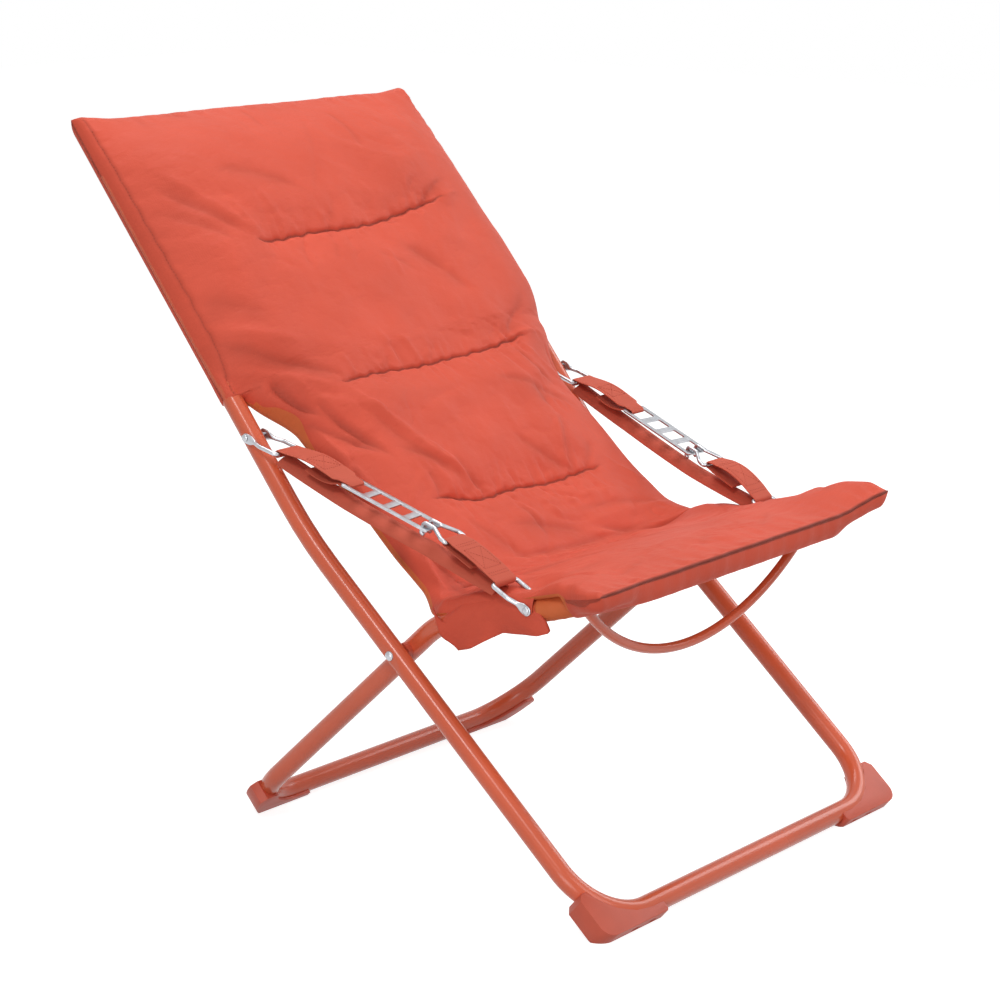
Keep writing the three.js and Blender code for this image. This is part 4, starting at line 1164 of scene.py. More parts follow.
# Folds of the cover: length along the pad and place across it, at start and end, then width, rise and bow
FOLDS = tuple(Fold((s0, x0), (s1, x1), *shape) for s0, x0, s1, x1, *shape in (
    (225, -170, 100, -260, 11, 3.6, 6), (215, -195, 120, -270, 12, -3.6, 4), (220, -220, 155, -280, 10, -2.4),
    (220, -170, 165, -190, 5, 2.4, 3), (215, -125, 160, -140, 5, 2.0, 2), (230, -55, 195, -60, 4, 2.0, -5),
    (240, -55, 190, -25, 5, -2.0), (45, 85, 125, 85, 4, -2.4, 6), (20, -45, 60, -45, 4, -1.8, 2),
    (10, -220, 30, -220, 4, -1.8), (5, -150, 25, -160, 4, -1.8), (45, 35, 180, -50, 4, -1.1, 4),
    (215, 135, 180, 200, 7, -3.2, 4), (215, 145, 200, 215, 9, 2.4), (70, -255, 105, -190, 22, 2.0),
    (110, -25, 155, 30, 20, 1.6), (150, 85, 135, 190, 22, 1.8), (270, 25, 315, 25, 5, 1.9, -2),
    (275, 5, 305, 55, 5, -1.6, 2), (315, 95, 300, 175, 8, 1.6), (245, -110, 280, -120, 5, -1.6),
    (250, -55, 275, -70, 4, -1.8), (285, -285, 330, -225, 20, -2.4), (320, -295, 370, -200, 12, 3.4, -4),
    (335, -295, 445, -165, 13, -4.4, -4), (375, -290, 450, -195, 12, 3.0), (410, -155, 445, -150, 5, 2.2),
    (375, -75, 440, -70, 7, 2.2, 3), (450, -30, 395, -45, 6, 2.6, -2), (440, -10, 410, 0, 5, 1.8),
    (460, -110, 425, -75, 6, -2.0), (450, -55, 405, -70, 5, -2.0), (435, 150, 365, 225, 11, -3.2, 3),
    (445, 115, 435, 230, 9, 3.2, 6), (360, 65, 355, 145, 20, 1.6), (305, -140, 330, -85, 18, 1.6),
    (455, 170, 515, 225, 6, 3.0, -6), (460, 150, 520, 185, 6, -3.0, -6), (450, 225, 530, 225, 5, -2.6, -5),
    (460, -175, 620, -75, 7, 3.4, -7), (480, -180, 610, -95, 9, -2.4, -6), (525, -140, 645, -70, 6, 2.8, 8),
    (405, -285, 540, -235, 7, -9, -4), (470, -240, 555, -185, 5, -6, -3), (425, -265, 525, -210, 8, 3.0),
    (505, -230, 590, -220, 7, 4), (545, -220, 575, -230, 5, -4), (450, -235, 520, -125, 14, 2.4),
    (630, -140, 590, -140, 7, -3.0, -4), (630, -190, 595, -135, 6, 2.8, 4), (630, -115, 600, -120, 5, 2.0),
    (635, -70, 585, -85, 6, -2.0), (570, 135, 650, 90, 6, 2.8, -5), (575, 140, 650, 105, 8, -2.0, -5),
    (525, 135, 555, 135, 10, -3.6), (615, 165, 650, 125, 6, -2.4), (635, 170, 680, 225, 9, 2.0),
    (535, 55, 590, 45, 16, 1.8), (515, -50, 565, -30, 16, 1.6), (675, -30, 725, -25, 5, -3.0, 3),
    (670, 15, 715, 20, 6, 2.4), (690, 40, 695, 165, 8, 2.4, 3), (705, 50, 725, 215, 7, -2.4, 3),
    (745, -135, 815, 105, 12, 2.4, -4), (750, -95, 760, 155, 10, -3.6, -4), (740, 70, 800, 220, 14, -5.0, -4),
    (725, 60, 730, 230, 9, 2.6), (670, -235, 780, -260, 9, -7), (685, -220, 765, -235, 6, 3.6),
    (715, -210, 895, -255, 10, -3.0), (660, -180, 740, -145, 12, 2.4), (675, -125, 775, -80, 12, -2.4),
    (690, -215, 800, -205, 6, -6, 4), (705, -195, 790, -180, 8, 4.0, 3), (720, -170, 815, -150, 6, -4.0, 5),
    (760, -225, 800, -120, 7, -4.0, -4), (408, -256, 475, -224, 6, -9, -3), (450, -222, 560, -176, 6, -8, -4),
    (418, -236, 505, -200, 8, 4), (560, -150, 640, -60, 10, -3.6, 6), (575, 40, 650, 110, 12, -3.0, -5),
    (700, -60, 760, 60, 14, -3.2, 8), (735, 20, 770, 170, 10, 3.0, -6), (845, -190, 900, -60, 12, -2.6, 8),
    (870, 10, 930, 150, 12, -2.4, -6), (500, 80, 560, 190, 9, -3.2, 6), (270, 60, 350, 130, 12, -2.6, 6),
    (120, -180, 170, -60, 12, -2.4, 8), (90, 40, 150, 160, 14, 2.2, -8), (985, -115, 970, 70, 12, 2.0),
    (950, -220, 960, -155, 9, -1.8), (1015, -195, 1005, -140, 6, -1.8), (1015, -40, 980, 25, 6, -1.6),
    (1015, 85, 980, 150, 6, -1.6), (1015, 235, 985, 255, 6, -1.6),
))


@dataclass(frozen=True)
class Tuft:
    """One short seam sewn through the pad, as length along it and places across, in millimetres."""

    place: float
    bend: float
    half: float
    depth: float
    lead: float = 14.0
    lead_share: float = 0.4
    bend_share: float = 0.2

    def along(self, x: np.ndarray) -> np.ndarray:
        """Length at which the seam runs, which bends a little towards its far end."""
        wave = 1.6 * np.sin(x / 23.0 + self.place) + 0.9 * np.sin(x / 5.1 + self.place)
        wave = wave + 0.6 * np.sin(x / 3.1)
        if self.bend > 0:
            knee = -self.half * self.lead_share
            lead = self.lead * (1 - smooth(x, -self.half, knee))
            return self.place - lead + self.bend * smooth(x, knee, self.half) + wave
        return self.place + self.bend * smooth(x, self.half * self.bend_share, self.half) + wave


@dataclass(frozen=True)
class Spots:
    """Places on the pad: length along, place across, and distances in from its side, head and front."""

    s: np.ndarray
    x: np.ndarray
    side: np.ndarray
    head: np.ndarray
    front: np.ndarray


@dataclass
class SlingPad:
    """The long sewn pad: sleeve over the head and sides of the outer frame, pocket over the front rail.

    All places are millimetres: lengths from the head along the pad, or distances across from its middle. A
    run is a pair of places between which the shape changes, or how far the change reaches before and after
    a place.
    """

    line: PadLine = field(default_factory=PadLine)
    seed: int = 7

    # Outline
    sleeve_half: float = 300.0
    neck_half: float = 276.0
    waist_half: float = 238.0
    seat_half: float = 267.0
    ear_half: float = 289.0
    sleeve_end: float = 404.0
    seat_start: float = 789.0
    pocket_start: float = 986.0
    rail_place: float = 1035.0
    seam_reach: float = 18.0
    cut_run: tuple = (2, 3)
    neck_run: tuple = (-2, 74)
    hip_run: tuple = (62, 6)
    ear_lead: float = 4.0
    front_corner: float = 6.0
    front_corner_run: tuple = (190, 285)
    front_waves: tuple = ((0.8, 14.0), (0.5, 4.7))
    head_inset: float = 0.4
    head_slope: float = 0.006
    head_corner: float = 6.5
    head_corner_run: tuple = (235, 300)
    head_wave: tuple = (0.5, 37.0)

    # Side edge: level, rise above it and rounding, and what the waist, the seat and the pocket add to them
    sleeve_edge: tuple = (0.0, 14.0, 11.5)
    waist_edge: tuple = (9.0, -2.0, -2.5)
    seat_edge: tuple = (10.0, 0.0, 0.0)
    pocket_edge: tuple = (-8.0, 2.0, 3.0)
    waist_run: tuple = (4, 14)
    seat_run: tuple = (30, 10)
    pocket_run: tuple = (6, 8)
    head_round: float = 14.0
    front_round: float = 5.0
    seam_level: float = 11.0
    seam_run: float = 30.0

    # Filling
    back_crown: float = 68.0
    seat_crown: float = 40.0
    crown_run: tuple = (470, 640)
    front_thinning: float = 8.0
    front_thinning_run: tuple = (930, 1000)
    soft_waist_run: tuple = (340, 520)
    soft_seat_run: tuple = (720, 800)
    seat_fill_run: tuple = (60, 30)
    side_reaches: tuple = (135.0, 55.0, -28.0)
    side_power: float = 3.2
    seat_side: tuple = (60.0, 2.5)
    head_fill: tuple = (150.0, 2.1)
    front_fill: tuple = (120.0, 2.0)
    tufts: tuple = (Tuft(228.0, -20.0, 178.0, 10.5), Tuft(449.0, -8.0, 178.0, 10.5),
                    Tuft(646.0, 5.0, 150.0, 9.5))
    gusset_inset: float = 7.5

    # Lining
    sleeve_floor: float = -14.8
    sleeve_hollow: float = 9.2
    sleeve_hollow_run: tuple = (20, 44)
    head_corner_half: float = 227.5
    head_corner_end: float = 75.9
    head_corner_reach: float = 72.5
    over_tube: float = 14.2
    between_tubes: float = 17.2
    tube_run: tuple = (236, 252)
    rail_corner_half: float = 137.5
    rail_corner_start: float = 915.0
    rail_corner_bend: float = 120.0
    rail_run: tuple = (12, 30)
    pocket_side_run: tuple = (6, 4)
    pocket_side: float = -3.0
    pocket_floor: float = -13.6
    pocket_lift: float = 7.0
    pocket_lift_run: tuple = (14, 34)
    pocket_lift_sides: tuple = (150, 210)
    lining_front_round: float = 13.0
    least_thick: float = 2.0

    # Mesh
    spacing: float = 4.2
    head_rows: tuple = (0.0, 0.4, 1.4, 3.0, 5.0, 7.5, 10.5, 14.0, 18.0)
    side_columns: tuple = (0.0, 0.4, 1.4, 3.0, 4.8, 6.2, 7.5, 8.8, 10.4, 12.4, 15.0, 18.0, 22.0, 26.0)
    first_row: float = 22.0
    last_row: float = 1000.0
    fine_row: float = 1.5
    fine_reach: float = 7.0
    middle_row: float = 2.6
    middle_reach: float = 16.0
    least_row: float = 0.3
    inner_half: float = 274.0
    tail_rows: int = 30
    tail_power: float = 1.9
    head_shift_reach: float = 30.0
    tuft_shift_reach: float = 45.0

    # Colours of the faces
    hem_columns: int = 1
    hem_run: tuple = (12, 30)
    lining_half: float = 268.0
    lining_start: float = 30.0
    pocket_back: float = 16.0
    pocket_half: float = 200.0

    # Stretch of the pad between two lengths, at a level above the line
    bend_start: float = 560.0
    bend_end: float = 800.0
    bend_level: float = 20.0

    @staticmethod
    def around(s: np.ndarray, place: float, run: tuple) -> np.ndarray:
        """Smooth step about a place, over a run before and after it."""
        return smooth(s, place - run[0], place + run[1])

    def half_width(self, s: np.ndarray) -> np.ndarray:
        """Half width of the pad's outline at a length."""
        cut = self.around(s, self.sleeve_end, self.cut_run)
        width = self.sleeve_half - (self.sleeve_half - self.neck_half) * cut
        width = width - (self.neck_half - self.waist_half) * self.around(s, self.sleeve_end, self.neck_run)
        width = width + (self.seat_half - self.waist_half) * self.around(s, self.seat_start, self.hip_run)
        ear = smooth(s, self.pocket_start - self.ear_lead, self.rail_place + self.ear_lead)
        return width + (self.ear_half - self.seat_half) * ear

    def front_end(self, x: np.ndarray) -> np.ndarray:
        """Length at which the front seam lies."""
        corner = self.front_corner * smooth(np.abs(x), *self.front_corner_run)
        end = self.rail_place + self.seam_reach + corner
        for height, length in self.front_waves:
            end = end + height * np.sin(x / length)
        return end

    def head_end(self, x: np.ndarray) -> np.ndarray:
        """Length at which the pad's head edge lies; its corners stand out."""
        height, length = self.head_wave
        corner = self.head_corner * smooth(np.abs(x), *self.head_corner_run)
        return self.head_inset + x * self.head_slope - corner + height * np.sin(x / length)

    def edge_levels(self, s: np.ndarray) -> list:
        """Level of the side edge and its rounding.

        Args:
            s: lengths along the line.

        Returns:
            Edge level, rise above it, and rounding radius.
        """
        waist = self.around(s, self.sleeve_end, self.waist_run)
        seat = self.around(s, self.seat_start, self.seat_run)
        pocket = self.around(s, self.pocket_start, self.pocket_run)
        levels = zip(self.sleeve_edge, self.waist_edge, self.seat_edge, self.pocket_edge)
        return [base + at_waist * waist + at_seat * seat + at_pocket * pocket
                for base, at_waist, at_seat, at_pocket in levels]

    def base_level(self, s: np.ndarray, front: np.ndarray) -> np.ndarray:
        """Level from which both faces rise and fall: the side edge's, and the seam's at the front."""
        level = self.edge_levels(s)[0]
        return level + (self.seam_level - level) * (1 - smooth(front, 0, self.seam_run))

    def side_reach(self, s: np.ndarray) -> np.ndarray:
        """How far in from the side the filling takes to reach its height: long at the head, short below."""
        middle, at_head, below = self.side_reaches
        head = 1 - smooth(s, 90, 230)
        full = smooth(s, 200, 280) * (1 - smooth(s, 350, 420))
        return middle + at_head * head + below * full

    def filled(self, spots: Spots) -> np.ndarray:
        """Height of the filled cover over the line, without its seams and creases."""
        s, x, front = spots.s, spots.x, spots.front
        level, rise, radius = self.edge_levels(s)
        seat = self.around(s, self.seat_start, self.seat_fill_run)
        crown = self.back_crown + (self.seat_crown - self.back_crown) * smooth(s, *self.crown_run)
        crown = crown - self.front_thinning * smooth(s, *self.front_thinning_run)
        soft_half = self.sleeve_half + (self.waist_half - self.sleeve_half) * smooth(s, *self.soft_waist_run)
        soft_half = soft_half + (self.seat_half - self.waist_half) * smooth(s, *self.soft_seat_run)
        inset = np.clip(soft_half - np.abs(x), 0, None)
        fill_side = self.bulge(inset, self.side_reach(s), self.side_power)
        fill_side = fill_side * (1 - seat) + seat * self.bulge(spots.side, *self.seat_side)
        fill_head = self.bulge(spots.head, *self.head_fill)
        fill_front = self.bulge(front, *self.front_fill)
        edge = self.rounding(spots, radius, self.front_round)
        edge_rise = rise * (0.25 + 0.75 * smooth(front, 0, 60))
        height = self.base_level(s, front) + edge_rise * edge
        height = height + (crown - level - rise) * fill_side * fill_head * fill_front
        # Raised far side over the knee and over the front corner, and a dent on both sides behind the pocket
        height = height + 13.0 * smooth(x, 150, 232) * smooth(s, 700, 760) * (1 - smooth(s, 830, 880)) * edge
        height = height + 9.0 * smooth(x, 150, 285) * smooth(s, 900, 1010) * smooth(front, -1, 22)
        return height - 14.0 * smooth(np.abs(x), 205, 240) * hump(s, 926.0, 34.0) * edge

    @staticmethod
    def bulge(inset: np.ndarray, reach: float, power: float) -> np.ndarray:
        """Share of its full height that the filling has at a distance in from an edge."""
        return 1 - np.clip(1 - inset / reach, 0, 1) ** power

    def rounding(self, spots: Spots, radius: np.ndarray, front_round: float) -> np.ndarray:
        """Rounding of the edges, from 0 at them to 1 inside."""
        return (quarter_round(spots.side / radius) * quarter_round(spots.head / self.head_round)
                * quarter_round(spots.front / front_round))

    def sew_tufts(self, height: np.ndarray, spots: Spots) -> tuple:
        """Draws the cover down along the tuft seams and puckers it beside them.

        Args:
            height: heights before.
            spots: their places.

        Returns:
            The new heights, and how far each place lies in a seam, from 0 to 1.
        """
        s, x = spots.s, spots.x
        seams = np.zeros_like(s)
        for index, tuft in enumerate(self.tufts):
            away = np.abs(s - tuft.along(x))
            inside = 1 - smooth(np.abs(x), tuft.half - 26, tuft.half + 12)
            dip = 0.30 * fade(away, 2.0, 1.4) + 0.24 * fade(away, 8.0, 1.3)
            dip = dip + 0.38 * fade(away, 34.0, 1.5)
            height = height - tuft.depth * inside * dip + 3.4 * hump(away, 50.0, 30.0) * inside
            pucker = random_field(s * 0.16, x, 19.0, self.seed + index * 11)
            ridge = -fade(np.abs(pucker), 0.2, 1.2) + 0.4
            reach = np.clip(24.0 + 24.0 * random_field(s * 0.0, x, 60.0, self.seed + index * 5), 9, 60)
            height = height + 3.4 * ridge * inside * fade(away, reach, 1.2) * smooth(away, 0, 5)
            # Painted shade in the tuft seams' grooves
            seams = np.maximum(seams, inside * fade(away, 1.5, 2))
        return height, seams

    def crease(self, height: np.ndarray, spots: Spots) -> tuple:
        """Adds the loose swells, the fine creases and the folds.

        Args:
            height: heights before.
            spots: their places.

        Returns:
            The new heights, and how far each place lies in a fold, from 0 to 1.
        """
        s, x, side, head, front = spots.s, spots.x, spots.side, spots.head, spots.front
        seed = self.seed
        calm = smooth(head, 8, 60) * np.clip(side / 50.0, 0, 1) * smooth(front, 4, 50)
        swell = 2.2 * random_field(s, x, 210.0, seed) + 0.9 * random_field(s, x, 88.0, seed + 2)
        height = height + calm * swell
        loose = 0.6 + 0.7 * smooth(s, 380, 520)
        fine = (2.2 * crease_field(s, x * 0.8, 150.0, seed + 20) + 1.4 * crease_field(s, x, 74.0, seed + 30)
                + 0.7 * crease_field(s, x * 1.2, 38.0, seed + 40))
        height = height + calm * loose * fine
        folds = np.zeros_like(s)
        for fold in FOLDS:
            folds = folds + fold.height(s, x)
        kept = folds * np.clip(side / 9.0, 0, 1) * np.clip(front / 12.0, 0, 1) * np.clip(head / 9.0, 0, 1)
        # The second value darkens the cloth in the folds' valleys: painted shade
        return height + kept, 0.55 * np.clip(-folds / 7.0, 0, 1)

    def sew_edges(self, height: np.ndarray, spots: Spots) -> tuple:
        """Adds the gusset seams, the ripples of the sleeve and the head, and the front seam's puckers.

        Args:
            height: heights before.
            spots: their places.

        Returns:
            The new heights, and how far each place lies in such a seam, from 0 to 1.
        """
        s, x, side, head, front = spots.s, spots.x, spots.side, spots.head, spots.front
        sleeve = 1 - self.around(s, self.sleeve_end, self.waist_run)
        gusset = hump(side, self.gusset_inset, 1.3) * sleeve * smooth(head, 2, 10)
        side_ripple = random_field(s, x * 0.0, 19.0, self.seed + 9)
        height = height - 1.0 * gusset + 0.9 * side_ripple * hump(side, 12.0, 9.0) * sleeve
        head_ripple = random_field(s * 0.0, x, 21.0, self.seed + 3)
        height = height + 1.1 * head_ripple * hump(head, 15.0, 12.0)
        pucker = random_field(s * 0.2, x, 17.0, self.seed + 5)
        reach = np.clip(20.0 + 12.0 * random_field(s * 0.0, x, 70.0, self.seed + 6), 8, 40)
        height = height + 2.2 * pucker * fade(front, reach, 1.4) * smooth(front, 0.5, 7)
        # The second value darkens the cloth along the gusset and front seams: painted shade
        return height, np.maximum(0.35 * gusset, fade(front, 1.1, 2))

    def top_offset(self, spots: Spots) -> tuple:
        """Height of the cover over the line.

        Args:
            spots: places on the pad.

        Returns:
            Heights in millimetres, and how far each place lies in a seam or crease, from 0 to 1, where the
            cloth gets painted shade.
        """
        height, seams = self.sew_tufts(self.filled(spots), spots)
        for work in (self.crease, self.sew_edges):
            height, more = work(height, spots)
            seams = np.maximum(seams, more)
        return height, seams

    def bottom_offset(self, spots: Spots) -> np.ndarray:
        """Height of the lining over the line, below the cover."""
        s, x = spots.s, np.abs(spots.x)
        base = self.base_level(s, spots.front)
        waist = self.around(s, self.sleeve_end, self.waist_run)
        seat = self.around(s, self.seat_start, self.seat_run)
        corner = (x > self.head_corner_half) & (s < self.head_corner_end)
        bend = self.head_corner_reach - np.hypot(x - self.head_corner_half, s - self.head_corner_end)
        inner = np.where(corner, bend, np.minimum(spots.side, spots.head))
        flat = self.sleeve_floor + self.sleeve_hollow * smooth(inner, *self.sleeve_hollow_run)
        flat = flat * (1 - waist)
        over_tube = self.over_tube - self.between_tubes * (1 - smooth(x, *self.tube_run))
        flat = flat * (1 - seat) + over_tube * seat
        arc = np.hypot(np.clip(x - self.rail_corner_half, 0, None),
                       np.clip(s - self.rail_corner_start, 0, None))
        ring = np.where(x > self.rail_corner_half, arc - self.rail_corner_bend, s - self.rail_place)
        near = np.where(ring > 0, 1.0, 1 - smooth(-ring, *self.rail_run))
        sides = self.around(s, self.pocket_start, self.pocket_side_run)
        flat = flat * (1 - sides) + sides * self.pocket_side
        pocket = sides * near
        lift = self.pocket_lift * smooth(ring, *self.pocket_lift_run) * smooth(x, *self.pocket_lift_sides)
        flat = flat * (1 - pocket) + pocket * (self.pocket_floor + lift)
        share = self.rounding(spots, self.edge_levels(s)[2], self.lining_front_round)
        return base + (flat - base) * share

    def row_places(self) -> list:
        """Lengths of the grid's rows between the head's edge and the pocket."""
        rows = list(self.head_rows)
        tufts = [tuft.place for tuft in self.tufts]
        place = self.first_row
        while place < self.last_row:
            rows.append(place)
            gap = min(abs(place - t) for t in tufts)
            step = self.middle_row if gap < self.middle_reach else self.spacing
            step = self.fine_row if gap < self.fine_reach else step
            ahead = [t - place for t in tufts if t > place]
            if ahead and step > self.fine_row:
                step = min(step, max(self.fine_row, min(ahead) * 0.5))
            place += step
        rows += [self.sleeve_end - self.fine_row, self.sleeve_end, self.sleeve_end + self.fine_row]
        rows = np.unique(rows)
        return list(rows[np.concatenate([[True], np.diff(rows) > self.least_row])])

    def grid(self) -> Spots:
        """Rows and columns of the pad's outline.

        Returns:
            The places, each array rows by columns.
        """
        edge = np.array(self.side_columns)
        inner = np.linspace(-1, 1, int(2 * self.inner_half / self.spacing))[1:-1]
        body = self.row_places()
        tail = 1 - (1 - np.linspace(0, 1, self.tail_rows)) ** self.tail_power
        rows = [(place, 0.0) for place in body] + [(body[-1], share) for share in tail[1:]]
        s_grid = np.zeros((len(rows), 2 * len(edge) + len(inner)))
        x_grid = np.zeros_like(s_grid)
        for index, (place, share) in enumerate(rows):
            guess = place + (self.rail_place + self.seam_reach - place) * share
            half = float(self.half_width(np.array(guess)))
            x = np.concatenate([edge - half, inner * (half - edge[-1]), (half - edge)[::-1]])
            shifted = place + self.head_end(x) * np.exp(-place / self.head_shift_reach)
            for tuft in self.tufts:
                shift = tuft.along(x) - tuft.place
                shifted = shifted + shift * hump(place, tuft.place, self.tuft_shift_reach)
            x_grid[index] = x
            s_grid[index] = shifted + (self.front_end(x) - shifted) * share
        side = np.clip(self.half_width(s_grid) - np.abs(x_grid), 0, None)
        side[:, 0] = side[:, -1] = 0
        front = np.clip(self.front_end(x_grid) - s_grid, 0, None)
        front[-1, :] = 0
        head = np.clip(s_grid - s_grid[0][None, :], 0, None)
        return Spots(s_grid, x_grid, side, head, front)

    def place(self, s: np.ndarray, x: np.ndarray, off: np.ndarray) -> np.ndarray:
        """Puts outline places and heights in space; the far side stands out at ear, waist and shoulder.

        Returns:
            Millimetre points, one more axis than s.
        """
        y, z, up_y, up_z = self.line.at(s)
        ear = smooth(x, 190, 289) * smooth(s, 930, 1020)
        waist = smooth(x, 120, 238) * hump(s, 700.0, 48.0)
        shoulder = smooth(x, 150, 270) * hump(s, 432.0, 28.0)
        x = x + 5.0 * ear + 9.0 * waist + 6.0 * shoulder
        return np.stack([x, y + up_y * off, z + up_z * off + 12.0 * ear], -1)

    def surface(self, s: np.ndarray, x: np.ndarray, lift: float = 0.0) -> np.ndarray:
        """Points of the cover at free places, for stitches."""
        side = np.clip(self.half_width(s) - np.abs(x), 0, None)
        front = np.clip(self.front_end(x) - s, 0, None)
        head = np.clip(s - self.head_end(x), 0, None)
        height, _ = self.top_offset(Spots(s, x, side, head, front))
        return self.place(s, x, height + lift)

    def follow(self, piece: Object) -> None:
        """Works out the pad's bending stretch, which goes unused, and bakes the piece's placement into its
        mesh.
        """
        start, end = (self.place(np.array(s), np.array(0.0), np.array(self.bend_level))
                      for s in (self.bend_start, self.bend_end))
        tuple(row_points(start))
        tuple(row_points(end))
        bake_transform(piece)

    def face_slots(self, s: np.ndarray, x: np.ndarray) -> np.ndarray:
        """Material slot of each face, upper faces first: 0 for the cover and 1 for the lining and its hem."""
        place, side = s[:-1, :-1], np.abs(x[:-1, :-1])
        sleeve = (place < self.sleeve_end) & ((side > self.lining_half) | (place < self.lining_start))
        pocket = (place > self.rail_place - self.pocket_back) | ((place > self.pocket_start)
                                                                 & (side > self.pocket_half))
        columns = np.arange(s.shape[1] - 1)
        rim = np.minimum(columns, columns[::-1])[None, :] < self.hem_columns
        hem = rim & (place > self.sleeve_end + self.hem_run[0]) & (place < self.seat_start - self.hem_run[1])
        return np.concatenate([np.where(hem, 1, 0).reshape(-1), np.where(sleeve | pocket, 0, 1).reshape(-1)])

    def build(self, materials: dict) -> list:
        """Builds the pad as one closed, padded piece, with its stitches.

        Args:
            materials: materials by name.

        Returns:
            The pad and its stitches.
        """
        spots = self.grid()
        s, x = spots.s, spots.x
        count = s.size
        top, seams = self.top_offset(spots)
        low = self.bottom_offset(spots)
        border = np.ones_like(s, bool)
        border[1:-1, 1:-1] = False
        inside = ~border
        top = np.where(border, self.base_level(s, spots.front), np.maximum(top, low + self.least_thick))
        verts = np.vstack([self.place(s, x, top).reshape(-1, 3), self.place(s, x, low)[inside]])
        index_top = np.arange(count).reshape(s.shape)
        index_low = index_top.copy()
        index_low[inside] = count + np.arange(inside.sum())
        quads_top = np.stack([index_top[:-1, :-1], index_top[1:, :-1],
                              index_top[1:, 1:], index_top[:-1, 1:]], -1)
        quads_low = np.stack([index_low[:-1, :-1], index_low[:-1, 1:],
                              index_low[1:, 1:], index_low[1:, :-1]], -1)
        faces = [tuple(f) for f in np.vstack([quads_top.reshape(-1, 4), quads_low.reshape(-1, 4)]).tolist()]
        piece = make_mesh("sling_pad", row_points(verts), faces)
        piece.data.polygons.foreach_set("material_index", self.face_slots(s, x).tolist())
        # The lining is laid out flat one metre beside the cover
        set_uv(piece, np.vstack([np.stack([x, s], -1).reshape(-1, 2) * MM,
                                 np.stack([x[inside], s[inside]], -1) * MM + np.array([1.0, 0.0])]))
        # The seam attribute carries the painted shade of seams and fold valleys
        depth = np.zeros(len(verts))
        depth[:count] = seams.reshape(-1)
        piece.data.attributes.new("seam", "FLOAT", "POINT").data.foreach_set("value", depth)
        piece.data.materials.append(materials["cloth"])
        piece.data.materials.append(materials["lining"])
        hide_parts("back_pad", "waist_pad", "seat_pad")
        self.follow(piece)
        return [piece, self.stitches(materials)]

    def stitches(self, materials: dict) -> Object:
        """Sews the front seam, the tuft seams and the gusset seams."""
        seams = StitchRow(pitch=4.6)
        x = np.linspace(-283, 283, 700)
        seams.add(self.place(self.front_end(x) - 1.0, x, np.full_like(x, self.seam_level + 1.4)))
        for tuft in self.tufts:
            x = np.linspace(-tuft.half, tuft.half, 500)
            seams.add(self.surface(tuft.along(x), x, 0.5))
        s = np.linspace(18, self.sleeve_end - 3, 500)
        for side in Side:
            across = np.full_like(s, side.value * (self.sleeve_half - self.gusset_inset))
            seams.add(self.surface(s, across, 0.2))
        piece = seams.build("pad_stitches", materials["thread"])
        self.follow(piece)
        return piece


